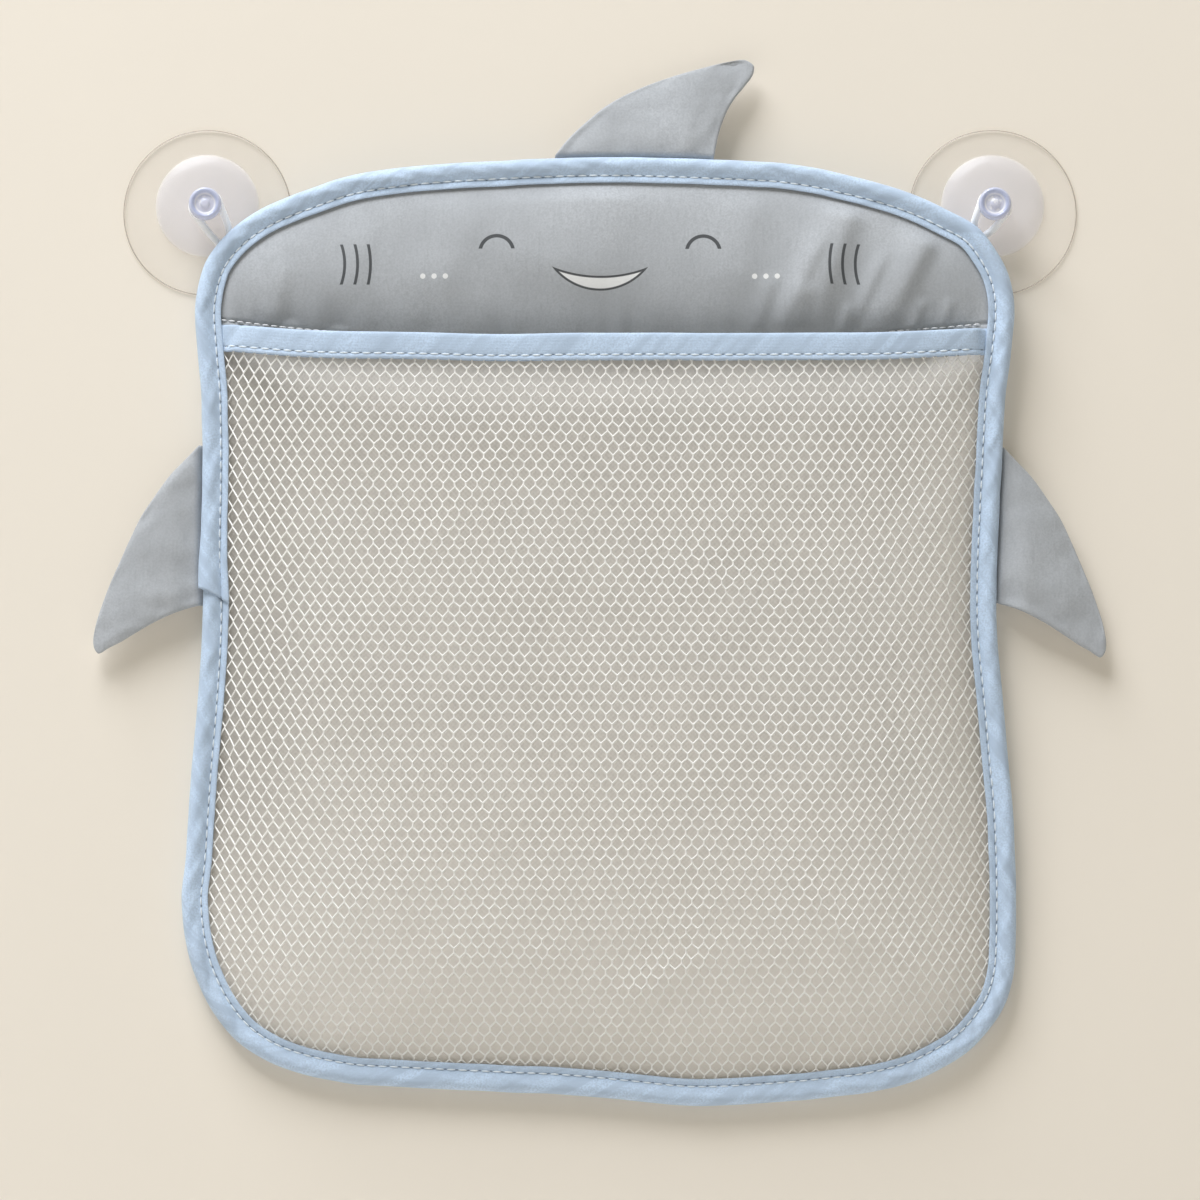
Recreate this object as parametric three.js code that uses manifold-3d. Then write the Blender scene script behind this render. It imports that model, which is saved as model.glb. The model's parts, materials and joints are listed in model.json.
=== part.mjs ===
// A bath toy organizer: a net pocket in a wire-stiffened fabric rim, hung by two elastic loops on two suction cups.
// Millimetres. The wall is the plane y = 0, the front looks along -Y, +Z is up, and the origin is midway between
// the axes of the two cups.
import * as THREE from 'three';
import { mergeVertices } from 'three/addons/utils/BufferGeometryUtils.js';
import Module from 'manifold-3d';

const wasm = await Module();
wasm.setup();

// Clearances and counts
const CLEARANCE = 0.3;
const WALL_GAP = 0.3;
const RING_STEPS = 84;
const BAND_STEPS = 26;
const CUP_SIDES = 32;
const CORD_SIDES = 8;
const MERGE_DISTANCE = 1e-4;

// The bag's outline, drawn as seen from the front, clockwise from the top centre.
// Each row is a share of the half width to the right, and a share of the height down from the top.
const BAG_HALF_WIDTH = 154.4;
const BAG_HEIGHT = 354;
const BAG_RISE = 18.4;
const RIM_DEPTH = 12;
const OUTLINE_SHARES = [
  [0, 0], [0.266, 0.003], [0.459, 0.008], [0.604, 0.02], [0.749, 0.038], [0.845, 0.057],
  [0.918, 0.076], [0.971, 0.108], [0.995, 0.135], [1.002, 0.167], [0.993, 0.207], [0.978, 0.256],
  [0.966, 0.34], [0.954, 0.446], [0.955, 0.504], [0.969, 0.573], [0.981, 0.636], [0.993, 0.7],
  [0.996, 0.816], [0.986, 0.869], [0.96, 0.9], [0.906, 0.932], [0.845, 0.953], [0.749, 0.974],
  [0.652, 0.985], [0.507, 0.993], [0.362, 0.998], [0.217, 1], [0.072, 0.994], [-0.072, 0.988],
  [-0.266, 0.984], [-0.459, 0.98], [-0.604, 0.976], [-0.749, 0.962], [-0.845, 0.941], [-0.913, 0.911],
  [-0.966, 0.869], [-0.993, 0.827], [-1.002, 0.784], [-0.993, 0.742], [-0.981, 0.658], [-0.966, 0.573],
  [-0.957, 0.488], [-0.962, 0.425], [-0.96, 0.34], [-0.963, 0.256], [-0.973, 0.203], [-0.978, 0.161],
  [-0.966, 0.129], [-0.942, 0.104], [-0.886, 0.076], [-0.807, 0.053], [-0.7, 0.034], [-0.604, 0.02],
  [-0.459, 0.01], [-0.266, 0.004],
];

// The folded binding tape, the hoop in its roll, and the layers between its flanges
const TAPE_THICKNESS = 0.8;
const BINDING_WIDTH = 9.3;
const ROLL_RADIUS = 3.15;
const ROLL_SEGMENTS = 6;
const BACK_PANEL_THICKNESS = 0.9;
const HEAD_PANEL_THICKNESS = 0.8;
const NET_THICKNESS = 0.8;
const WIRE_RADIUS = 1;
const WIRE_SIDES = 6;
const WIRE_END_GAP = 1;
const FERRULE_WALL = 0.5;
const FERRULE_LENGTH = 9;
const FERRULE_SIDES = 12;
const LAP_DROP = 162;

// The pocket: its mouth band, the net's bulge and its holes
const MOUTH_DROP = 62.8;
const MOUTH_SAG = 5.4;
const BAND_WIDTH = 9;
const BAND_TAPE = 0.6;
const BAND_STANDOFF = 2.1;
const MOUTH_BOW = 11;
const BELLY_DEPTH = 21;
const BELLY_RUN = 95;
const EDGE_ROUNDING = 20;
const LIP_DROP = 0.5;
const TONGUE_INSET = 1;
const HEM_LAP = 4;
const MESH_PITCH = 19;
const MESH_STRAND = 2;
const MESH_WAVE = 0.7;
const MESH_WAVE_RUN = 71;

// The suction cups
const CUP_INSET = 7.1;
const LIP_RADIUS = 31.5;
const LIP_EDGE = 0.8;
const LIP_THICKNESS = 1.3;
const DOME_RADIUS = 18.6;
const DOME_EDGE_HEIGHT = 3.4;
const DOME_HEIGHT = 5;
const HOLLOW_RADIUS = 20;
const HOLLOW_DEPTH = 2.2;
const NECK_RADIUS = 3;
const NECK_START = 8.6;
const HEAD_START = 13.4;
const HEAD_RADIUS = 6.1;
const KNOB_HEIGHT = 18.4;

// The elastic loops
const LOOP_CORD_RADIUS = 1.4;
const LOOP_DEPTH = 10.5;
const LOOP_ANGLE = THREE.MathUtils.degToRad(60.5);
const LOOP_LAP = 8.6;
const LOOP_STEPS = 40;

// The three fins
const FIN_EDGE = 1.4;
const FIN_THICKNESS = 6;
const FIN_COVER = 0.5;
const HINGE_STANDOFF = 0.6;
const DORSAL_LEAN = THREE.MathUtils.degToRad(4);
const DORSAL_BASE = 59.5;
const DORSAL_HEIGHT = 36.8;
const DORSAL_CENTRE = 12.9;
const SIDE_FIN_BASE = 60;
const SIDE_FIN_REACH = 41;
const SIDE_FIN_DROP = 106;

// Each fin row is a share of the reach, then where the fin starts and ends on the seam, as shares of its base.
const DORSAL_SHARES = [
  [0, 0, 1], [0.12, 0.05, 1.006], [0.245, 0.126, 1.019], [0.37, 0.22, 1.038], [0.49, 0.32, 1.075],
  [0.61, 0.447, 1.12], [0.73, 0.604, 1.17], [0.857, 0.8, 1.214], [0.95, 0.985, 1.235], [1, 1.12, 1.2],
];
const SIDE_FIN_SHARES = [
  [0, 0, 1], [0.14, 0.1, 1.03], [0.28, 0.2, 1.07], [0.44, 0.35, 1.125], [0.55, 0.463, 1.17],
  [0.65, 0.6, 1.213], [0.75, 0.75, 1.256], [0.85, 0.9, 1.288], [0.95, 1.09, 1.32], [1, 1.23, 1.3],
];
const ACROSS_SHARES = [0, 0.06, 0.14, 0.28, 0.5, 0.72, 0.86, 0.94, 1];
const REACH_SHARES = [0, 0.06, 0.15, 0.3, 0.45, 0.6, 0.75, 0.86, 0.93, 1];
const COVER_SEAM_SHARE = 0.06;
const COVER_TIP_SHARE = 0.93;
const BATTING_SEAM_SHARE = 0.14;
const BATTING_START_SHARE = 0.15;
const BATTING_TIP_SHARE = 0.86;
const SWELL_SHIFT_SHARE = 0.8;

// Places worked out from the sizes above
const SLOT_HALF = (BACK_PANEL_THICKNESS + HEAD_PANEL_THICKNESS + 3 * CLEARANCE) / 2;
const FLANGE_HALF = SLOT_HALF + TAPE_THICKNESS;
const FERRULE_BORE = (WIRE_RADIUS + CLEARANCE) / Math.cos(Math.PI / FERRULE_SIDES);
const FERRULE_RADIUS = FERRULE_BORE + FERRULE_WALL;
const PANEL_INSET = ROLL_RADIUS + FERRULE_RADIUS + CLEARANCE;
const OPEN_INSET = BINDING_WIDTH + CLEARANCE;
const BACK_PANEL_REAR = RIM_DEPTH - SLOT_HALF + CLEARANCE;
const FRONT_LAYER = RIM_DEPTH + SLOT_HALF - CLEARANCE - HEAD_PANEL_THICKNESS / 2;
const BAND_HALF = NET_THICKNESS / 2 + CLEARANCE + BAND_TAPE;
const CUP_SPACING = BAG_HALF_WIDTH - CUP_INSET;
const FIN_DEPTH = RIM_DEPTH - ROLL_RADIUS - CLEARANCE - FIN_EDGE / 2;
const BAG_LEAN = Math.asin((RIM_DEPTH - ROLL_RADIUS - WALL_GAP) / (BAG_HEIGHT - BAG_RISE));

// Colours and finishes
const BLUE_TAPE = new THREE.MeshStandardMaterial({ color: 0xb8cbdf, roughness: 0.85, metalness: 0 });
const GREY_CLOTH = new THREE.MeshStandardMaterial({ color: 0xa9adb3, roughness: 0.8, metalness: 0 });
const BACK_CLOTH = new THREE.MeshStandardMaterial({ color: 0xbbb5ad, roughness: 0.9, metalness: 0 });
const NET_YARN = new THREE.MeshStandardMaterial({ color: 0xf0ebe3, roughness: 0.6, metalness: 0 });
const CLEAR_VINYL = new THREE.MeshStandardMaterial({
  color: 0xe6e6ee, roughness: 0.12, metalness: 0, transparent: true, opacity: 0.4,
});
const WHITE_ELASTIC = new THREE.MeshStandardMaterial({ color: 0xf2f1f4, roughness: 0.7, metalness: 0 });
const SPRING_WIRE = new THREE.MeshStandardMaterial({ color: 0x9a9c9e, roughness: 0.35, metalness: 1 });
const WHITE_BATTING = new THREE.MeshStandardMaterial({ color: 0xf4f3f0, roughness: 1, metalness: 0 });

// Solids

function signedVolume(position, triangles) {
  const [a, b, c] = [new THREE.Vector3(), new THREE.Vector3(), new THREE.Vector3()];
  let volume = 0;
  for (const [i, j, k] of triangles) {
    a.fromBufferAttribute(position, i);
    b.fromBufferAttribute(position, j);
    c.fromBufferAttribute(position, k);
    volume += a.dot(b.cross(c));
  }
  return volume;
}

function closedBody(source) {
  const bare = new THREE.BufferGeometry();
  bare.setAttribute('position', source.getAttribute('position').clone());
  bare.setIndex(source.index ? source.index.clone() : null);
  const merged = mergeVertices(bare, MERGE_DISTANCE);
  const triangles = [];
  for (let i = 0; i < merged.index.count; i += 3) {
    const corners = [merged.index.getX(i), merged.index.getX(i + 1), merged.index.getX(i + 2)];
    if (new Set(corners).size === corners.length) {
      triangles.push(corners);
    }
  }
  if (signedVolume(merged.getAttribute('position'), triangles) < 0) {
    triangles.forEach((corners) => corners.reverse());
  }
  merged.setIndex(triangles.flat());
  merged.computeVertexNormals();
  return merged;
}

function fromArrays(positions, indices) {
  const geometry = new THREE.BufferGeometry();
  geometry.setAttribute('position', new THREE.Float32BufferAttribute(positions, 3));
  geometry.setIndex(indices);
  return closedBody(geometry);
}

function turned(points, corners) {
  const [a, b, c] = corners.map((i) => points[i]);
  const area = (b.x - a.x) * (c.y - a.y) - (c.x - a.x) * (b.y - a.y);
  return area < 0 ? [corners[0], corners[2], corners[1]] : corners;
}

// A sheet drawn flat, whose front and rear lie at a given depth from the wall at each point
function sheetBody(points, triangles, frontAt, rearAt) {
  const positions = [];
  for (const depthAt of [frontAt, rearAt]) {
    points.forEach((point, i) => positions.push(point.x, -depthAt(point, i), point.y));
  }
  const rear = points.length;
  const indices = [];
  const rims = new Map();
  for (const corners of triangles) {
    const [a, b, c] = turned(points, corners);
    indices.push(a, b, c, rear + c, rear + b, rear + a);
    for (const [p, q] of [[a, b], [b, c], [c, a]]) {
      if (!rims.delete(`${q} ${p}`)) {
        rims.set(`${p} ${q}`, [p, q]);
      }
    }
  }
  for (const [p, q] of rims.values()) {
    indices.push(q, p, rear + p, q, rear + p, rear + q);
  }
  return fromArrays(positions, indices);
}

// A body through equal sections, closed into a ring or capped at both ends
function loftBody(sections, outline, ring) {
  const size = outline.length;
  const indices = [];
  const spans = ring ? sections.length : sections.length - 1;
  for (let s = 0; s < spans; s += 1) {
    const next = (s + 1) % sections.length;
    for (let k = 0; k < size; k += 1) {
      const l = (k + 1) % size;
      const [a, b, c, d] = [s * size + k, s * size + l, next * size + l, next * size + k];
      indices.push(a, b, c, a, c, d);
    }
  }
  if (!ring) {
    const forward = THREE.ShapeUtils.isClockWise(outline) ? -1 : 1;
    const last = (sections.length - 1) * size;
    for (const corners of THREE.ShapeUtils.triangulateShape(outline, [])) {
      const [a, b, c] = turned(outline, corners);
      const [p, q] = forward > 0 ? [b, c] : [c, b];
      indices.push(a, q, p, last + a, last + p, last + q);
    }
  }
  return fromArrays(sections.flat().flatMap((point) => point.toArray()), indices);
}

function toManifold(geometry) {
  return new wasm.Manifold(new wasm.Mesh({
    numProp: 3,
    vertProperties: new Float32Array(geometry.getAttribute('position').array),
    triVerts: new Uint32Array(geometry.index.array),
  }));
}

function cutAway(geometry, tool) {
  const mesh = toManifold(geometry).subtract(toManifold(tool)).getMesh();
  return fromArrays(Array.from(mesh.vertProperties), Array.from(mesh.triVerts));
}

function named(name, geometry, material) {
  const mesh = new THREE.Mesh(geometry, material);
  mesh.name = name;
  return mesh;
}

// The outline and rings drawn inside it

function drawOutline() {
  const corners = OUTLINE_SHARES.map(([across, down]) => new THREE.Vector3(
    across * BAG_HALF_WIDTH, 0, BAG_RISE - down * BAG_HEIGHT,
  ));
  const curve = new THREE.CatmullRomCurve3(corners, true, 'centripetal');
  curve.arcLengthDivisions = OUTLINE_SHARES.length * RING_STEPS;
  return curve.getSpacedPoints(RING_STEPS).slice(0, RING_STEPS).map((p) => new THREE.Vector2(p.x, p.z));
}

const OUTLINE = drawOutline();

const INWARD = OUTLINE.map((point, i) => {
  const before = OUTLINE[(i + RING_STEPS - 1) % RING_STEPS];
  const after = OUTLINE[(i + 1) % RING_STEPS];
  return new THREE.Vector2(after.y - before.y, before.x - after.x).normalize();
});

function ringAt(inset) {
  return OUTLINE.map((point, i) => point.clone().addScaledVector(INWARD[i], inset));
}

// A place on a ring is a step number with a fraction; the point is where that place lies at an inset
function pointAt(inset, place) {
  const ring = ringAt(inset);
  const step = Math.floor(place);
  return ring[step % RING_STEPS].clone().lerp(ring[(step + 1) % RING_STEPS], place - step);
}

// The two places where a ring crosses a line of given height, on the right and then on the left
function crossings(inset, heightAt) {
  const ring = ringAt(inset);
  const above = ring.map((point) => point.y - heightAt(point.x));
  const places = [];
  above.forEach((before, i) => {
    const after = above[(i + 1) % RING_STEPS];
    if (before > 0 !== after > 0) {
      places.push(i + before / (before - after));
    }
  });
  return places;
}

function stretch(inset, from, to) {
  const points = [pointAt(inset, from)];
  for (let step = Math.ceil(from); step <= Math.floor(to); step += 1) {
    points.push(pointAt(inset, step));
  }
  points.push(pointAt(inset, to));
  return points;
}

function edgeDistance(point) {
  const nearest = new THREE.Vector2();
  return Math.min(...OUTLINE.map((a, i) => {
    const b = OUTLINE[(i + 1) % RING_STEPS];
    const run = b.clone().sub(a);
    const along = THREE.MathUtils.clamp(point.clone().sub(a).dot(run) / run.lengthSq(), 0, 1);
    return nearest.copy(a).addScaledVector(run, along).distanceTo(point);
  }));
}

function isInside(point) {
  let inside = false;
  OUTLINE.forEach((a, i) => {
    const b = OUTLINE[(i + 1) % RING_STEPS];
    if (a.y > point.y !== b.y > point.y) {
      const crossing = a.x + (b.x - a.x) * (point.y - a.y) / (b.y - a.y);
      inside = point.x < crossing ? !inside : inside;
    }
  });
  return inside;
}

// The lines of the pocket's mouth

function mouthTop(x) {
  const across = x / BAG_HALF_WIDTH;
  return BAG_RISE - MOUTH_DROP - MOUTH_SAG * (1 - across ** 4);
}

function bandBottom(x) {
  return mouthTop(x) - BAND_WIDTH;
}

function netTop(x) {
  return bandBottom(x) - LIP_DROP;
}

function hemLine(x) {
  return mouthTop(x) - HEM_LAP;
}

function netDepth(point) {
  const clear = edgeDistance(point) - OPEN_INSET;
  if (clear < CLEARANCE / 2) {
    return FRONT_LAYER;
  }
  const fill = 1 - Math.exp(-clear / EDGE_ROUNDING);
  const atMouth = BAND_STANDOFF + MOUTH_BOW * fill;
  const drop = THREE.MathUtils.smoothstep(netTop(point.x) - point.y, 0, BELLY_RUN);
  return FRONT_LAYER + THREE.MathUtils.lerp(atMouth, BELLY_DEPTH * fill, drop);
}

function bandDepth(x) {
  return netDepth(new THREE.Vector2(x, mouthTop(x) - BAND_WIDTH / 2));
}

function bandStations() {
  const places = [mouthTop, bandBottom].map((line) => crossings(OPEN_INSET, line));
  const right = Math.min(...places.map(([place]) => pointAt(OPEN_INSET, place).x)) - CLEARANCE;
  const left = Math.max(...places.map(([, place]) => pointAt(OPEN_INSET, place).x)) + CLEARANCE;
  const stations = [];
  for (let i = 0; i <= BAND_STEPS; i += 1) {
    stations.push(THREE.MathUtils.lerp(left, right, i / BAND_STEPS));
  }
  return stations;
}

const BAND_STATIONS = bandStations();

// The rim

function arcPoints(radius, half, segments) {
  const points = [];
  for (let i = 0; i <= segments; i += 1) {
    const angle = half * (1 - 2 * i / segments);
    points.push(new THREE.Vector2(ROLL_RADIUS - radius * Math.cos(angle), radius * Math.sin(angle)));
  }
  return points;
}

// The folded tape in section: its distance in from the edge, and its distance forward of the rim's middle plane
function bindingSection() {
  const hollow = ROLL_RADIUS - TAPE_THICKNESS;
  const outerHalf = Math.PI - Math.asin(FLANGE_HALF / ROLL_RADIUS);
  const innerHalf = Math.PI - Math.asin(SLOT_HALF / hollow);
  return [
    new THREE.Vector2(BINDING_WIDTH, FLANGE_HALF),
    ...arcPoints(ROLL_RADIUS, outerHalf, ROLL_SEGMENTS),
    new THREE.Vector2(BINDING_WIDTH, -FLANGE_HALF),
    new THREE.Vector2(BINDING_WIDTH, -SLOT_HALF),
    ...arcPoints(hollow, innerHalf, ROLL_SEGMENTS).reverse(),
    new THREE.Vector2(BINDING_WIDTH, SLOT_HALF),
  ];
}

function onRim(point, inward, across) {
  const place = point.clone().addScaledVector(inward, across.x);
  return new THREE.Vector3(place.x, -RIM_DEPTH - across.y, place.y);
}

function makeRimBinding() {
  const section = bindingSection();
  const sections = OUTLINE.map((point, i) => section.map((across) => onRim(point, INWARD[i], across)));
  return named('rim_binding', loftBody(sections, section, true), BLUE_TAPE);
}

function wireJointStep() {
  const [, left] = crossings(ROLL_RADIUS, () => BAG_RISE - LAP_DROP);
  return Math.floor(left);
}

function makeRimWire() {
  const section = [];
  for (let i = 0; i < WIRE_SIDES; i += 1) {
    const angle = 2 * Math.PI * i / WIRE_SIDES;
    section.push(new THREE.Vector2(WIRE_RADIUS * Math.cos(angle), WIRE_RADIUS * Math.sin(angle)));
  }
  const joint = wireJointStep();
  const middle = 1 / 2;
  const run = OUTLINE[joint].distanceTo(OUTLINE[(joint + 1) % RING_STEPS]);
  const back = WIRE_END_GAP / 2 / run;
  const places = [joint + middle + back];
  for (let step = joint + 1; step <= joint + RING_STEPS; step += 1) {
    places.push(step);
  }
  places.push(joint + RING_STEPS + middle - back);
  const sections = places.map((place) => {
    const step = Math.floor(place);
    const fraction = place - step;
    const inward = INWARD[step % RING_STEPS].clone().lerp(INWARD[(step + 1) % RING_STEPS], fraction);
    const centre = pointAt(ROLL_RADIUS, place);
    return section.map((across) => onRim(centre, inward, across));
  });
  return named('rim_wire', loftBody(sections, section, false), SPRING_WIRE);
}

function makeWireFerrule() {
  const half = FERRULE_LENGTH / 2;
  const tube = new THREE.LatheGeometry([
    new THREE.Vector2(FERRULE_BORE, -half),
    new THREE.Vector2(FERRULE_RADIUS, -half),
    new THREE.Vector2(FERRULE_RADIUS, half),
    new THREE.Vector2(FERRULE_BORE, half),
    new THREE.Vector2(FERRULE_BORE, -half),
  ], FERRULE_SIDES);
  const joint = wireJointStep();
  const from = pointAt(ROLL_RADIUS, joint);
  const to = pointAt(ROLL_RADIUS, joint + 1);
  const along = new THREE.Vector3(to.x - from.x, 0, to.y - from.y).normalize();
  const mesh = named('wire_ferrule', closedBody(tube), SPRING_WIRE);
  mesh.position.set((from.x + to.x) / 2, -RIM_DEPTH, (from.y + to.y) / 2);
  mesh.quaternion.setFromUnitVectors(new THREE.Vector3(0, 1, 0), along);
  return mesh;
}

// The panels

function makeBackPanel() {
  const contour = ringAt(PANEL_INSET);
  const triangles = THREE.ShapeUtils.triangulateShape(contour, []);
  const front = () => BACK_PANEL_REAR + BACK_PANEL_THICKNESS;
  const rear = () => BACK_PANEL_REAR;
  return named('back_panel', sheetBody(contour, triangles, front, rear), BACK_CLOTH);
}

function makeHeadPanel() {
  const [right, left] = crossings(PANEL_INSET, hemLine);
  const top = stretch(PANEL_INSET, left, right + RING_STEPS);
  const hem = BAND_STATIONS.map((x) => new THREE.Vector2(x, hemLine(x))).reverse();
  const contour = [...top, ...hem];
  const triangles = THREE.ShapeUtils.triangulateShape(contour, []);
  const front = () => FRONT_LAYER + HEAD_PANEL_THICKNESS / 2;
  const rear = () => FRONT_LAYER - HEAD_PANEL_THICKNESS / 2;
  return named('head_panel', sheetBody(contour, triangles, front, rear), GREY_CLOTH);
}

// The net: a flat border in the binding, a tongue in the mouth band, and hexagonal holes between

// The net hangs a little uneven, so its rows and columns wander in slow waves
function wander(point) {
  const run = 2 * Math.PI / MESH_WAVE_RUN;
  const aside = MESH_WAVE * Math.sin(run * (point.y + point.x / 2));
  const down = MESH_WAVE * Math.cos(run * (point.x - point.y / 3));
  return new THREE.Vector2(point.x + aside, point.y + down);
}

function hexagonHole(centre) {
  const radius = (MESH_PITCH - MESH_STRAND) / Math.sqrt(3);
  const corners = [];
  for (let i = 0; i < 6; i += 1) {
    const angle = Math.PI * (i / 3 + 1 / 2);
    const corner = new THREE.Vector2(radius * Math.cos(angle), radius * Math.sin(angle));
    corners.push(wander(corner.add(centre)));
  }
  return corners;
}

function holeFits(corner) {
  const low = netTop(corner.x) - corner.y > MESH_STRAND;
  return low && isInside(corner) && edgeDistance(corner) > OPEN_INSET + MESH_STRAND;
}

function meshHoles() {
  const rowPitch = MESH_PITCH * Math.sqrt(3) / 2;
  const rows = Math.ceil(BAG_HEIGHT / rowPitch);
  const columns = Math.ceil(BAG_HALF_WIDTH / MESH_PITCH);
  const highest = netTop(0) - MESH_STRAND - MESH_PITCH / Math.sqrt(3);
  const holes = [];
  for (let row = 0; row < rows; row += 1) {
    for (let column = -columns; column <= columns; column += 1) {
      const x = (column + (row % 2) / 2) * MESH_PITCH;
      const hole = hexagonHole(new THREE.Vector2(x, highest - row * rowPitch));
      if (hole.every(holeFits)) {
        holes.push(hole);
      }
    }
  }
  return holes;
}

function stripTriangles(first, second) {
  const triangles = [];
  for (let i = 0; i + 1 < first.length; i += 1) {
    triangles.push([first[i], first[i + 1], second[i + 1]], [first[i], second[i + 1], second[i]]);
  }
  return triangles;
}

// Two triangles trade the edge between them where the corners that face it add up to more than half a turn
function tradeEdges(points, triangles) {
  const owners = new Map();
  triangles.forEach(([a, b, c], t) => {
    owners.set(`${a} ${b}`, [t, c]).set(`${b} ${c}`, [t, a]).set(`${c} ${a}`, [t, b]);
  });
  const facing = (a, b, c) => {
    const toA = points[a].clone().sub(points[c]);
    return toA.angleTo(points[b].clone().sub(points[c]));
  };
  const traded = new Set();
  for (const [edge, [t, c]] of owners) {
    const [a, b] = edge.split(' ').map(Number);
    const [u, d] = owners.get(`${b} ${a}`) ?? [t, c];
    const free = u !== t && !traded.has(t) && !traded.has(u);
    if (free && facing(a, b, c) + facing(a, b, d) > Math.PI * (1 + MERGE_DISTANCE)) {
      triangles[t] = [a, d, c];
      triangles[u] = [d, b, c];
      traded.add(t).add(u);
    }
  }
  return traded.size > 0;
}

function evenTriangles(points, contour, holes) {
  const rings = [contour, ...holes];
  const numbers = rings.flat();
  const [outer, ...inner] = rings.map((ring) => ring.map((i) => points[i]));
  const triangles = THREE.ShapeUtils.triangulateShape(outer, inner)
    .map((corners) => turned(points, corners.map((i) => numbers[i])));
  let trading = true;
  while (trading) {
    trading = tradeEdges(points, triangles);
  }
  return triangles;
}

function makeNetPocket() {
  const [right, left] = crossings(OPEN_INSET, netTop);
  const tongue = BAND_STATIONS.slice();
  tongue[0] += TONGUE_INSET;
  tongue[BAND_STEPS] -= TONGUE_INSET;
  const tongueRoom = BAND_TAPE + CLEARANCE;
  const lines = [
    stretch(PANEL_INSET, right, left),
    stretch(OPEN_INSET, right, left),
    tongue.map((x) => new THREE.Vector2(x, netTop(x))),
    tongue.map((x) => new THREE.Vector2(x, mouthTop(x) - tongueRoom)),
  ];
  const points = [];
  const [hidden, border, low, high] = lines.map((line) => line.map((point) => points.push(point) - 1));
  const holes = meshHoles().map((hole) => hole.map((point) => points.push(point) - 1));
  const inner = evenTriangles(points, [...border, ...low], holes);
  const triangles = [...stripTriangles(hidden, border), ...stripTriangles(low, high), ...inner];
  const flat = hidden.length + border.length;
  const inBand = flat + low.length + high.length;
  const depths = points.map((point, i) => {
    if (i < flat) {
      return FRONT_LAYER;
    }
    return i < inBand ? bandDepth(point.x) : netDepth(point);
  });
  const front = (point, i) => depths[i] + NET_THICKNESS / 2;
  const rear = (point, i) => depths[i] - NET_THICKNESS / 2;
  return named('net_pocket', sheetBody(points, triangles, front, rear), NET_YARN);
}

// The tape folded over the net's top edge, in section: its distance forward, and its height above the band's bottom
function bandSection() {
  const inside = NET_THICKNESS / 2 + CLEARANCE;
  const fold = BAND_WIDTH - BAND_TAPE;
  return [
    new THREE.Vector2(BAND_HALF, 0),
    new THREE.Vector2(BAND_HALF, BAND_WIDTH - BAND_TAPE),
    new THREE.Vector2(inside, BAND_WIDTH),
    new THREE.Vector2(-inside, BAND_WIDTH),
    new THREE.Vector2(-BAND_HALF, BAND_WIDTH - BAND_TAPE),
    new THREE.Vector2(-BAND_HALF, 0),
    new THREE.Vector2(-inside, 0),
    new THREE.Vector2(-inside, fold),
    new THREE.Vector2(inside, fold),
    new THREE.Vector2(inside, 0),
  ];
}

function makeMouthBand() {
  const section = bandSection();
  const sections = BAND_STATIONS.map((x) => section.map((across) => new THREE.Vector3(
    x, -bandDepth(x) - across.x, bandBottom(x) + across.y,
  )));
  return named('mouth_band', loftBody(sections, section, false), BLUE_TAPE);
}

// The suction cups, in section: radius, and distance from the wall

function cupSection() {
  const neckFoot = NECK_RADIUS + LIP_THICKNESS;
  const headEdge = HEAD_START + LIP_THICKNESS;
  const dishRadius = HEAD_RADIUS - LIP_THICKNESS - LIP_EDGE;
  const dishDepth = KNOB_HEIGHT - LIP_THICKNESS;
  return [
    [0, HOLLOW_DEPTH],
    [HOLLOW_RADIUS / 2, HOLLOW_DEPTH * 3 / 4],
    [HOLLOW_RADIUS, 0],
    [LIP_RADIUS, 0],
    [LIP_RADIUS, LIP_EDGE],
    [(LIP_RADIUS + DOME_RADIUS) / 2, LIP_THICKNESS],
    [DOME_RADIUS + LIP_THICKNESS, LIP_THICKNESS + LIP_EDGE],
    [DOME_RADIUS, DOME_EDGE_HEIGHT],
    [DOME_RADIUS * 2 / 3, (DOME_EDGE_HEIGHT + DOME_HEIGHT) / 2],
    [(DOME_RADIUS + neckFoot) / 3, DOME_HEIGHT],
    [neckFoot, (DOME_HEIGHT + NECK_START) / 2],
    [NECK_RADIUS, NECK_START],
    [NECK_RADIUS, HEAD_START],
    [HEAD_RADIUS - LIP_EDGE, HEAD_START + LIP_EDGE / 2],
    [HEAD_RADIUS, headEdge],
    [HEAD_RADIUS - LIP_EDGE / 2, KNOB_HEIGHT - LIP_EDGE],
    [HEAD_RADIUS - LIP_THICKNESS, KNOB_HEIGHT],
    [dishRadius, KNOB_HEIGHT - LIP_EDGE / 2],
    [dishRadius - LIP_EDGE, dishDepth],
    [LIP_THICKNESS + LIP_EDGE / 2, dishDepth],
    [LIP_THICKNESS, KNOB_HEIGHT - LIP_EDGE / 2],
    [0, KNOB_HEIGHT - LIP_EDGE / 2],
  ].map(([radius, height]) => new THREE.Vector2(radius, height));
}

function makeCup(name, side) {
  const mesh = named(name, closedBody(new THREE.LatheGeometry(cupSection(), CUP_SIDES)), CLEAR_VINYL);
  mesh.position.set(side * CUP_SPACING, 0, 0);
  mesh.rotation.x = Math.PI;
  return mesh;
}

// The elastic loops: round the neck, then behind the rim's roll to the seam

function reachToRim(centre, heading) {
  const step = LOOP_CORD_RADIUS / LOOP_STEPS;
  let reach = 0;
  while (!isInside(centre.clone().addScaledVector(heading, reach)) && reach < BAG_HALF_WIDTH) {
    reach += step;
  }
  return reach;
}

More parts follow.
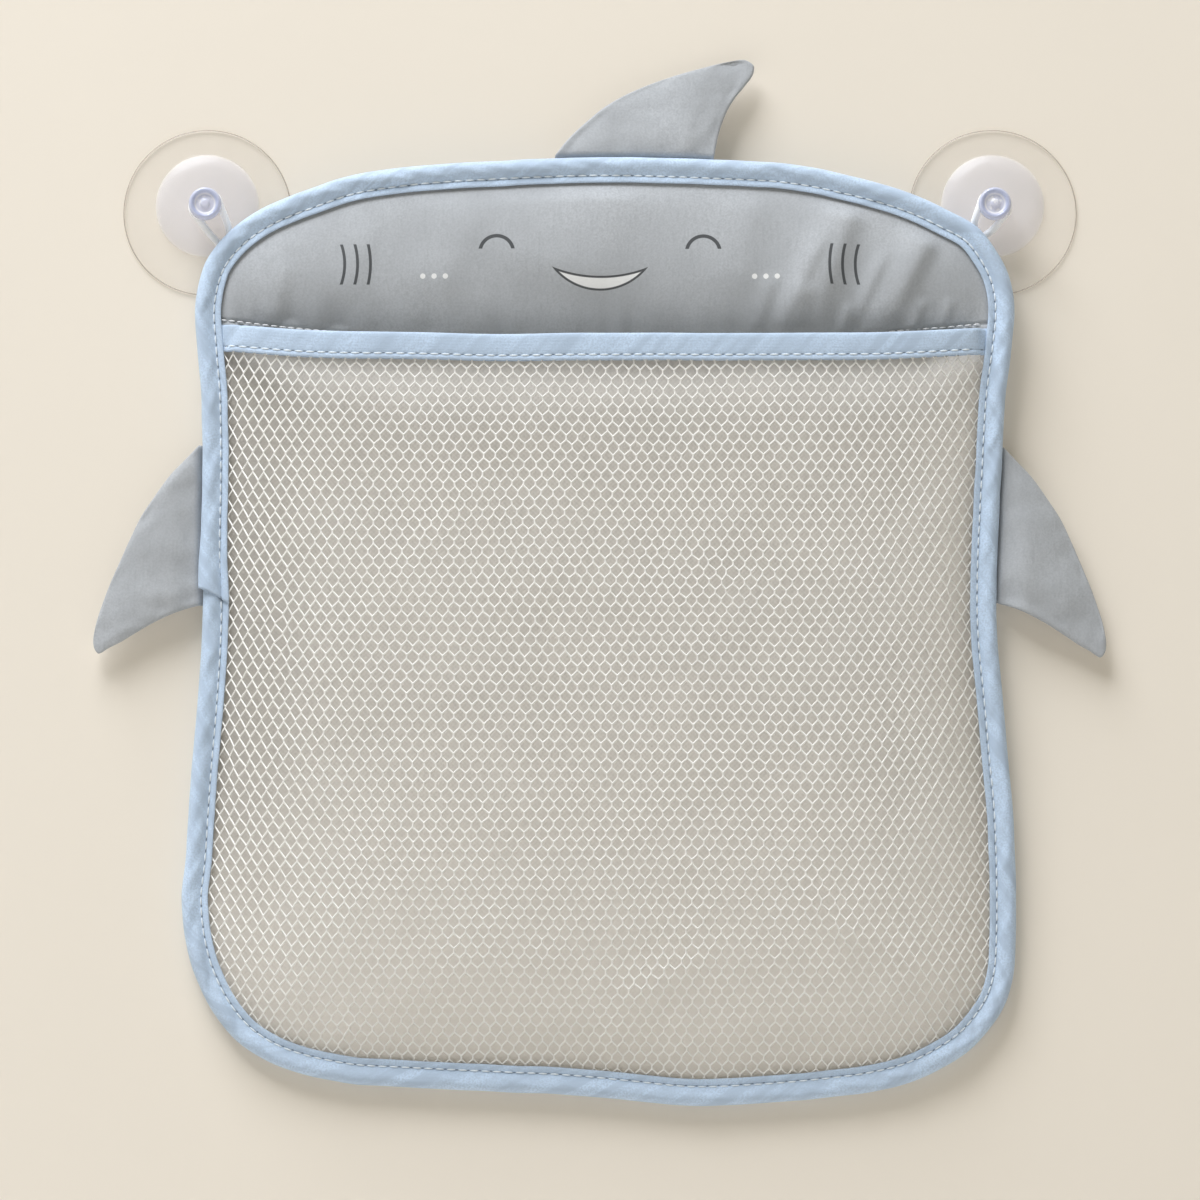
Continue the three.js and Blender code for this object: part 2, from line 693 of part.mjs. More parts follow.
function loopRoute(side) {
  const centre = new THREE.Vector2(side * CUP_SPACING, 0);
  const heading = new THREE.Vector2(-side * Math.cos(LOOP_ANGLE), -Math.sin(LOOP_ANGLE));
  const across = new THREE.Vector2(-heading.y, heading.x);
  const turn = NECK_RADIUS + CLEARANCE + LOOP_CORD_RADIUS;
  const beside = LOOP_CORD_RADIUS + CLEARANCE;
  const edge = reachToRim(centre, heading);
  const behindRoll = RIM_DEPTH - ROLL_RADIUS - CLEARANCE - LOOP_CORD_RADIUS;
  const behindFlange = RIM_DEPTH - FLANGE_HALF - CLEARANCE - LOOP_CORD_RADIUS;
  const strand = [
    [edge + LOOP_LAP, beside, behindFlange],
    [edge + ROLL_RADIUS + ROLL_RADIUS, beside, behindRoll + CLEARANCE],
    [edge + ROLL_RADIUS, beside, behindRoll],
    [edge, beside + CLEARANCE, behindRoll],
    [(edge + turn) / 2, (beside + turn) / 2, (behindRoll + LOOP_DEPTH) / 2],
  ];
  const bends = [];
  for (const degrees of [65, 100, 140, 180, 220, 260, 295]) {
    const angle = THREE.MathUtils.degToRad(degrees);
    bends.push([turn * Math.cos(angle), turn * Math.sin(angle), LOOP_DEPTH]);
  }
  const back = strand.map(([along, aside, depth]) => [along, -aside, depth]).reverse();
  return [...strand, ...bends, ...back].map(([along, aside, depth]) => {
    const place = centre.clone().addScaledVector(heading, along).addScaledVector(across, aside);
    return new THREE.Vector3(place.x, -depth, place.y);
  });
}

function makeLoop(name, side) {
  const section = new THREE.Shape();
  for (let i = 0; i < CORD_SIDES; i += 1) {
    const angle = 2 * Math.PI * i / CORD_SIDES;
    const corner = [LOOP_CORD_RADIUS * Math.cos(angle), LOOP_CORD_RADIUS * Math.sin(angle)];
    section[i === 0 ? 'moveTo' : 'lineTo'](...corner);
  }
  section.closePath();
  const route = new THREE.CatmullRomCurve3(loopRoute(side), false, 'centripetal');
  const tube = new THREE.ExtrudeGeometry(section, { steps: LOOP_STEPS, extrudePath: route, bevelEnabled: false });
  return named(name, closedBody(tube), WHITE_ELASTIC);
}

// The fins: each is drawn on its own seam, with x along the seam, z outward and y through the cloth

function finGrid(rows, base, reach, acrossShares, reachShares) {
  const curve = new THREE.CatmullRomCurve3(rows.map(([out, start, end]) => new THREE.Vector3(start, end, out)));
  const points = [];
  for (const out of reachShares) {
    const row = curve.getPoint(out);
    for (const across of acrossShares) {
      const swell = Math.sqrt(4 * across * (1 - across)) * Math.sin(Math.PI * out ** SWELL_SHIFT_SHARE);
      const half = FIN_EDGE / 2 + (FIN_THICKNESS - FIN_EDGE) / 2 * swell;
      points.push({
        place: new THREE.Vector2(base * THREE.MathUtils.lerp(row.x, row.y, across), reach * row.z),
        half,
      });
    }
  }
  return points;
}

function gridTriangles(rows, columns) {
  const triangles = [];
  for (let r = 0; r + 1 < rows; r += 1) {
    for (let c = 0; c + 1 < columns; c += 1) {
      const a = r * columns + c;
      triangles.push([a, a + 1, a + columns + 1], [a, a + columns + 1, a + columns]);
    }
  }
  return triangles;
}

// The foot rows carry the first row down past the seam, each by a drop and with a half thickness of its own
function finBody(grid, columns, feet, thinner) {
  const first = grid.slice(0, columns);
  const footed = feet.flatMap(([drop, half]) => first.map(({ place }) => ({
    place: new THREE.Vector2(place.x, place.y - drop),
    half,
  })));
  const nodes = [...footed, ...grid.map(({ place, half }) => ({ place, half: half - thinner }))];
  const triangles = gridTriangles(nodes.length / columns, columns);
  return sheetBody(nodes.map(({ place }) => place), triangles, (p, i) => nodes[i].half, (p, i) => -nodes[i].half);
}

function between(shares, low, high) {
  return shares.filter((share) => share >= low && share <= high);
}

function makeFin(name, rows, base, reach) {
  const half = FIN_EDGE / 2;
  const bead = [[half, half / 4], [half * 3 / 4, half * 2 / 3]];
  const outer = finGrid(rows, base, reach, ACROSS_SHARES, REACH_SHARES);
  const outside = finBody(outer, ACROSS_SHARES.length, bead, 0);

  const pocketAcross = between(ACROSS_SHARES, COVER_SEAM_SHARE, 1 - COVER_SEAM_SHARE);
  const pocketReach = between(REACH_SHARES, 0, COVER_TIP_SHARE);
  const pocket = finGrid(rows, base, reach, pocketAcross, pocketReach);
  const slit = half - FIN_COVER;
  const inside = finBody(pocket, pocketAcross.length, [[FIN_EDGE, slit]], FIN_COVER);

  const battingAcross = between(ACROSS_SHARES, BATTING_SEAM_SHARE, 1 - BATTING_SEAM_SHARE);
  const battingReach = between(REACH_SHARES, BATTING_START_SHARE, BATTING_TIP_SHARE);
  const batting = finGrid(rows, base, reach, battingAcross, battingReach);
  const filling = finBody(batting, battingAcross.length, [], FIN_COVER + CLEARANCE);

  return [
    named(name, cutAway(outside, inside), GREY_CLOTH),
    named(`${name}_batting`, filling, WHITE_BATTING),
  ];
}

function makeSeamTab(name, base) {
  const half = FIN_EDGE / 2;
  const top = -half - CLEARANCE;
  const bottom = -HINGE_STANDOFF - BINDING_WIDTH;
  const corners = [[0, bottom], [base, bottom], [base, top], [0, top]].map(([x, z]) => new THREE.Vector2(x, z));
  const body = sheetBody(corners, [[0, 1, 2], [0, 2, 3]], () => half, () => -half);
  return named(name, body, GREY_CLOTH);
}

// A seam runs from one point of the outline to another, just outside everything between them
function seamGroup(from, to) {
  const start = pointAt(0, from);
  const along = pointAt(0, to).sub(start).normalize();
  const outward = new THREE.Vector2(-along.y, along.x);
  const bulge = Math.max(...stretch(0, from, to).map((point) => point.sub(start).dot(outward)));
  start.addScaledVector(outward, Math.max(bulge, 0) + HINGE_STANDOFF);
  const group = new THREE.Group();
  group.position.set(start.x, -FIN_DEPTH, start.y);
  group.rotation.y = Math.atan2(-along.y, along.x);
  return group;
}

function makeFinOnSeam(name, seam, rows, base, reach, lean) {
  seam.add(makeSeamTab(`${name}_tab`, base));
  const flap = new THREE.Group();
  flap.rotation.x = lean;
  flap.add(...makeFin(name, rows, base, reach));
  seam.add(flap);
  return seam;
}

function topPlace(x) {
  const right = x >= OUTLINE[0].x;
  for (let step = 0; step < RING_STEPS; step += 1) {
    const place = right ? step : RING_STEPS - step - 1;
    const [low, high] = [pointAt(0, place).x, pointAt(0, place + 1).x];
    if (x >= low && x <= high) {
      return place + (x - low) / (high - low);
    }
  }
  return 0;
}

function mirrored(rows) {
  return rows.map(([out, start, end]) => [out, 1 - end, 1 - start]);
}

function makeFins() {
  const dorsalFrom = topPlace(DORSAL_CENTRE - DORSAL_BASE / 2);
  const dorsalTo = topPlace(DORSAL_CENTRE + DORSAL_BASE / 2) + RING_STEPS;
  const high = () => BAG_RISE - SIDE_FIN_DROP;
  const low = () => BAG_RISE - SIDE_FIN_DROP - SIDE_FIN_BASE;
  const [rightHigh, leftHigh] = crossings(0, high);
  const [rightLow, leftLow] = crossings(0, low);
  const dorsalSeam = seamGroup(dorsalFrom, dorsalTo);
  const rightSeam = seamGroup(rightHigh, rightLow);
  const leftSeam = seamGroup(leftLow, leftHigh);
  return [
    makeFinOnSeam('dorsal_fin', dorsalSeam, DORSAL_SHARES, DORSAL_BASE, DORSAL_HEIGHT, DORSAL_LEAN),
    makeFinOnSeam('right_fin', rightSeam, SIDE_FIN_SHARES, SIDE_FIN_BASE, SIDE_FIN_REACH, 0),
    makeFinOnSeam('left_fin', leftSeam, mirrored(SIDE_FIN_SHARES), SIDE_FIN_BASE, SIDE_FIN_REACH, 0),
  ];
}

// The bag hangs on the cups' necks and leans back until its bottom edge meets the wall.
function makeBag() {
  const pivot = new THREE.Group();
  pivot.position.y = -LOOP_DEPTH;
  pivot.rotation.x = BAG_LEAN;
  const bag = new THREE.Group();
  bag.position.y = LOOP_DEPTH;
  bag.add(makeRimBinding(), makeRimWire(), makeWireFerrule());
  bag.add(makeBackPanel(), makeHeadPanel(), makeNetPocket(), makeMouthBand());
  bag.add(makeLoop('left_loop', -1), makeLoop('right_loop', 1));
  bag.add(...makeFins());
  pivot.add(bag);
  return pivot;
}

const group = new THREE.Group();
group.add(makeCup('left_cup', -1), makeCup('right_cup', 1), makeBag());

export default group;
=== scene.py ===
"""A bath toy organizer: a net pocket in a bound fabric rim with three soft fins, hung on two clear suction cups.

Dresses the packed frame. Metres, +Z up, the front looks along -Y, and the wall is the plane y = 0.
"""

import bisect
import json
import math

import bmesh
import bpy
from mathutils import Matrix, Vector, kdtree, noise


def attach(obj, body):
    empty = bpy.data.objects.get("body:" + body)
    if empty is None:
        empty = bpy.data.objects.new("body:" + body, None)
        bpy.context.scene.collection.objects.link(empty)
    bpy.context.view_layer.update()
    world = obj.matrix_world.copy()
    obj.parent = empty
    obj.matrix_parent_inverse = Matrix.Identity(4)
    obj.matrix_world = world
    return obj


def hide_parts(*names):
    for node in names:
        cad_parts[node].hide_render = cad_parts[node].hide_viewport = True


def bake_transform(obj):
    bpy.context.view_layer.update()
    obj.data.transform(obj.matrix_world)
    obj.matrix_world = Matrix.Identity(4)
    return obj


bl_info = {
    "name": "Bath Toy Organizer",
    "version": (1, 0, 0),
    "blender": (4, 5, 0),
    "location": "3D View > Sidebar > Organizer",
    "description": "Dresses the packed frame of a bath toy organizer in cloth, net, cord and clear vinyl",
    "category": "Object",
}

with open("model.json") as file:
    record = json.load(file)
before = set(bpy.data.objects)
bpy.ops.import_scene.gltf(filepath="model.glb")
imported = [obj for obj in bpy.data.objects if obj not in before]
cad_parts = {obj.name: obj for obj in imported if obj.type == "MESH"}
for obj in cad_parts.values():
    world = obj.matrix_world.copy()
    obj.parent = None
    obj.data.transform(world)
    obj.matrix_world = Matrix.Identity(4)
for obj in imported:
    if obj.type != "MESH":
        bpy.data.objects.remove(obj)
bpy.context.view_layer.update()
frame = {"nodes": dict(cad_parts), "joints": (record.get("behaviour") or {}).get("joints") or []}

# The bag's outline, clockwise from the top centre, as shares of its half width and of its height
OUTLINE_SHARES = [
    (0, 0), (0.266, 0.003), (0.459, 0.008), (0.604, 0.02), (0.749, 0.038), (0.845, 0.057),
    (0.918, 0.076), (0.971, 0.108), (0.995, 0.135), (1.002, 0.167), (0.993, 0.207), (0.978, 0.256),
    (0.966, 0.34), (0.954, 0.446), (0.955, 0.504), (0.969, 0.573), (0.981, 0.636), (0.993, 0.7),
    (0.996, 0.816), (0.986, 0.869), (0.96, 0.9), (0.906, 0.932), (0.845, 0.953), (0.749, 0.974),
    (0.652, 0.985), (0.507, 0.993), (0.362, 0.998), (0.217, 1), (0.072, 0.994), (-0.072, 0.988),
    (-0.266, 0.984), (-0.459, 0.98), (-0.604, 0.976), (-0.749, 0.962), (-0.845, 0.941), (-0.913, 0.911),
    (-0.966, 0.869), (-0.993, 0.827), (-1.002, 0.784), (-0.993, 0.742), (-0.981, 0.658), (-0.966, 0.573),
    (-0.957, 0.488), (-0.962, 0.425), (-0.96, 0.34), (-0.963, 0.256), (-0.973, 0.203), (-0.978, 0.161),
    (-0.966, 0.129), (-0.942, 0.104), (-0.886, 0.076), (-0.807, 0.053), (-0.7, 0.034), (-0.604, 0.02),
    (-0.459, 0.01), (-0.266, 0.004),
]

# The bag: how far its top stands over the cups' line, how far its rim's middle, its front cloths and its back
# cloth stand off the wall, how far in from the rim's edge the opening and the cloths' edges lie, and how far down
# the binding's ends lap
BAG_HALF_WIDTH = 0.1544
BAG_HEIGHT = 0.354
BAG_RISE = 0.0184
RIM_DEPTH = 0.012
ROLL_RADIUS = 0.00315
FRONT_LAYER = 0.0126
BACK_LAYER = 0.01145
OPEN_INSET = 0.0096
PANEL_INSET = 0.0053
PANEL_WIDTH = 0.2986
LAP_DROP = 0.1646

# The mouth: its drop below the bag's top and its sag, the folded band, and how far the net bows and bulges forward
MOUTH_DROP = 0.0631
MOUTH_SAG = 0.0054
MOUTH_BOW = 0.011
BAND_WIDTH = 0.0097
BAND_STANDOFF = 0.0021
BAND_ENDS = (-0.1475, 0.1465)
LIP_DROP = 0.0005
BELLY_DEPTH = 0.021
BELLY_RUN = 0.095
EDGE_ROUNDING = 0.02

# The cups and the elastic loops round their necks: how far a cup's middle is from the bag's, how far its dome sits
# above and its lip below that, the cord's radius, distance off the wall, way to the rim, and length behind it
CUP_SPACING = 0.1473
DOME_RISE = 0.0018
LIP_SAG = 0.0006
NECK_RADIUS = 0.0036
LOOP_CORD_RADIUS = 0.0014
LOOP_DEPTH = 0.0105
LOOP_ANGLE = math.radians(60.5)
LOOP_LAP = 0.0086
CLEARANCE = 0.0003

# Each fin row: a share of the reach, then where the fin starts and ends on its seam, as shares of the base
DORSAL_SHARES = [
    (0, 0, 1), (0.12, 0.055, 1.012), (0.245, 0.125, 1.029), (0.37, 0.21, 1.053), (0.49, 0.298, 1.084),
    (0.61, 0.418, 1.128), (0.73, 0.579, 1.188), (0.84, 0.768, 1.237), (0.93, 0.962, 1.247), (1, 1.12, 1.225),
]
SIDE_FIN_SHARES = [
    (0, 0, 1), (0.14, 0.1, 1.03), (0.28, 0.2, 1.07), (0.44, 0.35, 1.125), (0.55, 0.463, 1.17),
    (0.65, 0.6, 1.213), (0.75, 0.75, 1.256), (0.85, 0.905, 1.292), (0.94, 1.07, 1.33), (1, 1.195, 1.32),
]


def lowered(rows, near, far):
    """Rows whose foot starts and ends further along the seam by shares of the base, while their tip stays."""
    return [(out, start + near * (1 - out), end + far * (1 - out)) for out, start, end in rows]


def turned(rows, shift):
    """Rows turned end for end, a little shorter, and with their foot moved back along the seam."""
    return [(out * 0.96, 1 - end - shift * (1 - out), 1 - start - shift * (1 - out)) for out, start, end in rows]


# Each fin's rows, the length of its base and its reach, how much one end of it is lifted forward (the far end where
# this is above 0, the near end where it is below), and how much it falls back towards its tip
FINS = {
    "dorsal": (DORSAL_SHARES, 0.0595, 0.0380, 0.0, 0.075),
    "right": (lowered(SIDE_FIN_SHARES, 0.05, 0.024), 0.06, 0.041, 0.075, 0.10),
    "left": (turned(SIDE_FIN_SHARES, 0.038), 0.06, 0.041, -0.035, 0.0),
}

# How far a fin's flat foot goes in behind the rim, how far in from the cover the batting starts as a share of the
# base and of the reach, and over what share of the reach the tip is rounded off
FIN_TAB = 0.0099
FIN_PAD_INSET = 0.17
FIN_TIP = 0.1

# The way the front looks, and how near to each other two corners lie that are merged
FORWARD = Vector((0, -1, 0))
MERGE = 0.000004

# The bag leans back about the line through the two cup necks until its bottom rests on the wall
BAG_LEAN = math.asin((RIM_DEPTH - ROLL_RADIUS - CLEARANCE) / (BAG_HEIGHT - BAG_RISE))
LEAN = (
    Matrix.Translation((0, -LOOP_DEPTH, 0))
    @ Matrix.Rotation(BAG_LEAN, 4, "X")
    @ Matrix.Translation((0, LOOP_DEPTH, 0))
)


# Sizes and colours that a user would change

class OrganizerCloth(bpy.types.PropertyGroup):
    """Cloth, tape and thread"""

    tape_colour: bpy.props.FloatVectorProperty(
        name="Tape", description="Colour of the rim's binding and of the mouth band",
        subtype="COLOR", size=3, min=0, max=1, default=(0.55, 0.675, 0.835))
    head_colour: bpy.props.FloatVectorProperty(
        name="Head and fins", description="Colour of the grey cloth of the head panel and the fins",
        subtype="COLOR", size=3, min=0, max=1, default=(0.468, 0.488, 0.51))
    back_colour: bpy.props.FloatVectorProperty(
        name="Back", description="Colour of the woven cloth behind the net",
        subtype="COLOR", size=3, min=0, max=1, default=(0.705, 0.67, 0.62))
    print_colour: bpy.props.FloatVectorProperty(
        name="Print", description="Colour of the printed lines on the head panel",
        subtype="COLOR", size=3, min=0, max=1, default=(0.075, 0.08, 0.085))
    stitch_pitch: bpy.props.FloatProperty(
        name="Stitch", description="Distance from one stitch to the next",
        subtype="DISTANCE", unit="LENGTH", min=0.002, max=0.01, default=0.0042)
    thread: bpy.props.FloatProperty(
        name="Thread", description="Thickness of the sewing thread",
        subtype="DISTANCE", unit="LENGTH", min=0.0002, max=0.001, default=0.00072)


class OrganizerNet(bpy.types.PropertyGroup):
    """The knitted net"""

    pitch: bpy.props.FloatProperty(
        name="Mesh", description="Distance between the middles of two neighbouring holes",
        subtype="DISTANCE", unit="LENGTH", min=0.003, max=0.02, default=0.0043)
    strand: bpy.props.FloatProperty(
        name="Strand", description="Thickness of a strand of the net",
        subtype="DISTANCE", unit="LENGTH", min=0.0003, max=0.002, default=0.00070)
    colour: bpy.props.FloatVectorProperty(
        name="Yarn", description="Colour of the net's yarn",
        subtype="COLOR", size=3, min=0, max=1, default=(1.0, 0.965, 0.895))


class OrganizerFins(bpy.types.PropertyGroup):
    """The stuffed fins"""

    crown: bpy.props.FloatProperty(
        name="Crown", description="Thickness of a fin at its fullest place",
        subtype="DISTANCE", unit="LENGTH", min=0.002, max=0.012, default=0.0048)
    edge: bpy.props.FloatProperty(
        name="Edge", description="Thickness of a fin along its seam",
        subtype="DISTANCE", unit="LENGTH", min=0.0006, max=0.003, default=0.0011)
    bow: bpy.props.FloatProperty(
        name="Bow", description="How far a fin stands forward near its foot before it falls back to its tip",
        subtype="DISTANCE", unit="LENGTH", min=0, max=0.006, default=0.0026)


class OrganizerStage(bpy.types.PropertyGroup):
    """The wall, the floor and the light"""

    wall_colour: bpy.props.FloatVectorProperty(
        name="Wall", description="Colour of the wall",
        subtype="COLOR", size=3, min=0, max=1, default=(0.865, 0.795, 0.69))
    key_power: bpy.props.FloatProperty(
        name="Key light", description="Power of the large soft light at the upper left, in watts",
        min=0, max=500, default=87.0)


# Shader maths

class Field:
    """A value that varies over a surface, so that shader maths can be written as an expression."""

    def __init__(self, finish, socket):
        self.finish = finish
        self.socket = socket

    def maths(self, operation, *others):
        values = dict(enumerate((self,) + others))
        return self.finish.node("ShaderNodeMath", {"operation": operation}, values)

    def output(self, name):
        return Field(self.finish, self.socket.node.outputs[name])

    def between(self, low, high):
        settings = {"interpolation_type": "SMOOTHSTEP"}
        return self.finish.node("ShaderNodeMapRange", settings, {0: self, 1: low, 2: high})

    def __add__(self, other):
        return self.maths("ADD", other)

    def __mul__(self, other):
        return self.maths("MULTIPLY", other)

    def __sub__(self, other):
        return self.maths("SUBTRACT", other)

    def __truediv__(self, other):
        return self.maths("DIVIDE", other)

    def __pow__(self, other):
        return self.maths("POWER", other)

    def __neg__(self):
        return self * -1

    def __abs__(self):
        return self.maths("ABSOLUTE")

    def __rsub__(self, other):
        return -self + other

    __radd__ = __add__
    __rmul__ = __mul__


class Finish:
    """A material on one Principled shader, with one method that adds any other node."""

    def __init__(self, name, **fixed):
        self.material = bpy.data.materials.new(name)
        self.material.use_nodes = True
        self.tree = self.material.node_tree
        self.tree.nodes.clear()
        self.shader = self.tree.nodes.new("ShaderNodeBsdfPrincipled")
        self.end = self.tree.nodes.new("ShaderNodeOutputMaterial")
        self.tree.links.new(self.shader.outputs[0], self.end.inputs["Surface"])
        self.wear(**fixed)

    def wear(self, **values):
        for name, value in values.items():
            self.feed(self.shader.inputs[name.replace("_", " ")], value)

    def feed(self, socket, value):
        if isinstance(value, Field):
            self.tree.links.new(value.socket, socket)
        elif hasattr(value, "__len__") and len(value) == 3 and socket.type == "RGBA":
            socket.default_value = (*value, 1)
        else:
            socket.default_value = value

    def node(self, kind, settings=None, inputs=None, output=0):
        made = self.tree.nodes.new(kind)
        for name, value in (settings or {}).items():
            setattr(made, name, value)
        for name, value in (inputs or {}).items():
            self.feed(made.inputs[name], value)
        return Field(self, made.outputs[output])

    def object_place(self):
        return self.node("ShaderNodeTexCoord", output="Object")

    def cloth_place(self):
        return self.node("ShaderNodeUVMap", {"uv_map": "cloth"})

    def stretched(self, place, scale):
        return self.node("ShaderNodeMapping", None, {"Vector": place, "Scale": scale})

    def split(self, vector):
        x = self.node("ShaderNodeSeparateXYZ", None, {0: vector})
        return x, x.output("Y"), x.output("Z")

    def clouds(self, vector, scale, detail=2.0, roughness=0.5):
        values = {"Vector": vector, "Scale": scale, "Detail": detail, "Roughness": roughness}
        return self.node("ShaderNodeTexNoise", None, values)

    def mix(self, first, second, factor):
        values = {0: factor, 6: first, 7: second}
        return self.node("ShaderNodeMix", {"data_type": "RGBA"}, values, 2)

    def bump(self, height, distance, strength=1.0):
        values = {"Height": height, "Distance": distance, "Strength": strength}
        return self.node("ShaderNodeBump", None, values)


def distance(across, up):
    """How far a place lies from a centre, from the two ways to it."""
    return (across ** 2 + up ** 2).maths("SQRT")


def shade(colour, factor):
    return tuple(min(1.0, channel * factor) for channel in colour)


def plain_weave(across, along, thread):
    """The height of a plain weave, -1 to 1, for threads of a given width."""
    turn = math.pi / thread
    return (across * turn).maths("SINE") * (along * turn).maths("SINE")


def tape_finish(name, cloth, stitch_line, holes):
    """Light blue bias tape: threads on the diagonal, painted shade in the needle holes and along the stitching groove,
    and painted light and shade in slanting streaks along its gathers.
    """
    finish = Finish(name, Roughness=0.85, Sheen_Weight=0.12, Sheen_Roughness=0.5, Specular_IOR_Level=0.3)
    along, across, _ = finish.split(finish.cloth_place())
    place = finish.object_place()
    weave = plain_weave(along + across, along - across, 0.00055)
    patches = finish.clouds(place, 55, 3)
    streaks = finish.clouds(finish.stretched(finish.cloth_place(), (60, 400, 1)), 1.0, 3)
    slant_light_and_shade = finish.clouds(finish.node("ShaderNodeCombineXYZ", None, {
        "X": (along - across * 1.8) * 150, "Y": across * 40, "Z": 0.0}), 1.0, 2)
    grain = finish.clouds(place, 1400, 2)

    hole_reach = (0.0002, 0.0007)
    pitch = 0.5 - abs((along / holes).maths("FRACT") - 0.5)
    dark = 1 - distance(pitch * holes, across - stitch_line).between(*hole_reach)
    groove = 1 - abs(across - stitch_line).between(*hole_reach)

    tape = cloth.tape_colour
    base = finish.mix(shade(tape, 0.92), shade(tape, 1.08), patches.between(0.3, 0.7))
    # Painted shade and painted light in slanting streaks, where the tape's gathers are shaded and lit
    base = finish.mix(base, shade(tape, 0.80), slant_light_and_shade.between(0.50, 0.64) * 0.75)
    base = finish.mix(base, shade(tape, 1.14), slant_light_and_shade.between(0.48, 0.36) * 0.65)
    threads = weave * 0.06 + streaks.between(0.45, 0.8) * 0.2 + grain.between(0.35, 0.7) * 0.8
    base = finish.mix(base, shade(tape, 0.86), threads)
    # Painted shade in the needle holes and along the stitching groove
    base = finish.mix(base, shade(tape, 0.22), (dark * 0.45 + groove * 0.30).maths("MINIMUM", 0.9))
    height = weave * 0.00002 + grain * 0.00012 + streaks * 0.0002 - dark * 0.00025 - groove * 0.0001
    finish.wear(Base_Color=base, Normal=finish.bump(height, 1.0, 0.75), Roughness=patches * 0.12 + 0.78)
    return finish.material


def grey_cloth(finish, cloth, place):
    """The fine grey plain weave of the head and the fins: its colour and its height."""
    x, _, z = finish.split(place)
    weave = plain_weave(x, z, 0.0006)
    slubs = finish.clouds(finish.stretched(place, (1, 1, 0.12)), 900, 1)
    patches = finish.clouds(place, 30, 4)
    creases = finish.clouds(place, 120, 3)
    grain = finish.clouds(place, 1300, 2)
    grey = cloth.head_colour
    base = finish.mix(shade(grey, 0.90), shade(grey, 1.10), patches.between(0.25, 0.75))
    threads = weave * 0.04 + slubs.between(0.45, 0.85) * 0.3 + grain.between(0.3, 0.7) * 0.55
    base = finish.mix(base, shade(grey, 0.80), threads)
    return base, grain * 0.00010 + slubs * 0.00006 + creases * 0.00014


def fin_finish(cloth):
    finish = Finish("fin cloth", Roughness=0.75, Sheen_Weight=0.15, Sheen_Roughness=0.4)
    base, height = grey_cloth(finish, cloth, finish.object_place())
    finish.wear(Base_Color=base, Normal=finish.bump(height, 1.0, 0.8))
    return finish.material


def head_finish(cloth):
    """The head panel's cloth with its print: two closed eyes, a small open smile, flecks and gill slits."""
    finish = Finish("head cloth", Roughness=0.68, Sheen_Weight=0.3, Sheen_Roughness=0.4)
    place = finish.object_place()
    base, height = grey_cloth(finish, cloth, place)
    x, _, z = finish.split(place)
    soft = 0.00012
    side = abs(x)

    eye_x, eye_drop, eye_radius, lid_drop = 0.0385, 0.0185, 0.0062, 0.0172
    lid = abs(distance(side - eye_x, z + eye_drop) - eye_radius)
    lids = lid.between(0.00078, 0.00056) * (z + lid_drop).between(-soft, soft)

    # The smile lies inside a circle, which gives its lower edge, and outside a larger one, for its upper edge
    lower_drop, lower_radius, upper_rise, upper_radius = 0.0105, 0.0225, 0.0200, 0.0475
    below = distance(x, z + lower_drop) - lower_radius
    above = upper_radius - distance(x, z - upper_rise)
    inside = -below.maths("MAXIMUM", above)
    smile = inside.between(-soft, soft)
    outline = smile * inside.between(0.0010, 0.0007)

    # The gill slits are arcs of rings about one centre, a pitch apart from the first to the last
    gill_x, gill_drop, gill_pitch, first, last, edge = 0.118, 0.023, 0.0048, 0.0205, 0.0349, 0.0001
    gill = distance(side - gill_x, z + gill_drop)
    ring = abs(((gill - first) / gill_pitch).maths("FRACT") - 0.5) * gill_pitch
    gills = ring.between(0.00065, 0.00045) * gill.between(first - edge, first + edge)
    gills = gills * gill.between(last + edge, last - edge)
    gills = gills * abs(z + gill_drop).between(0.0078, 0.0074) * (side - gill_x).between(soft, -soft)

    fleck_x, fleck_drop, fleck_pitch = 0.0618, 0.0275, 0.0042
    step = ((side - (fleck_x - 1.5 * fleck_pitch)) / fleck_pitch).maths("FRACT") - 0.5
    fleck = distance(step * fleck_pitch, z + fleck_drop)
    flecks = fleck.between(0.0011, 0.0009) * abs(side - fleck_x).between(0.0062, 0.0060)

    base = finish.mix(base, (0.86, 0.86, 0.85), (smile + flecks).maths("MINIMUM", 1.0))
    base = finish.mix(base, tuple(cloth.print_colour), (lids + outline + gills).maths("MINIMUM", 1.0))
    finish.wear(Base_Color=base, Normal=finish.bump(height, 1.0, 0.8))
    return finish.material


def back_finish(cloth):
    """The warm woven back cloth, with painted shade down its left side and painted light towards its bottom."""
    finish = Finish("back cloth", Roughness=0.9, Sheen_Weight=0.1)
    place = finish.object_place()
    x, _, z = finish.split(place)
    weave = plain_weave(x, z, 0.0009)
    slubs = finish.clouds(finish.stretched(place, (1, 1, 0.2)), 700, 2)
    patches = finish.clouds(place, 25, 3)
    back = cloth.back_colour
    base = finish.mix(shade(back, 0.92), shade(back, 1.08), patches)
    base = finish.mix(base, shade(back, 0.74), weave * 0.2 + slubs.between(0.45, 0.8) * 0.3)
    # Painted shade down the left side, where the rim and the net shade the cloth
    base = finish.mix(base, shade(back, 0.66), x.between(-0.098, -0.143) * 0.75)
    # Painted light towards the bottom of the back cloth
    base = finish.mix(base, shade(back, 1.2), z.between(-0.17, -0.31) * 0.8)
    finish.wear(Base_Color=base, Normal=finish.bump(weave * 0.00006 + slubs * 0.00008, 1.0, 0.8))
    return finish.material


def net_finish(net):
    finish = Finish("net yarn", Roughness=0.55, Sheen_Weight=0.1)
    place = finish.object_place()
    twist = finish.clouds(place, 2600, 2)
    patches = finish.clouds(place, 60, 2)
    base = finish.mix(shade(net.colour, 0.9), shade(net.colour, 1.08), patches * 0.5 + twist * 0.5)
    finish.wear(Base_Color=base, Normal=finish.bump(twist * 0.00012, 1.0, 0.7))
    return finish.material


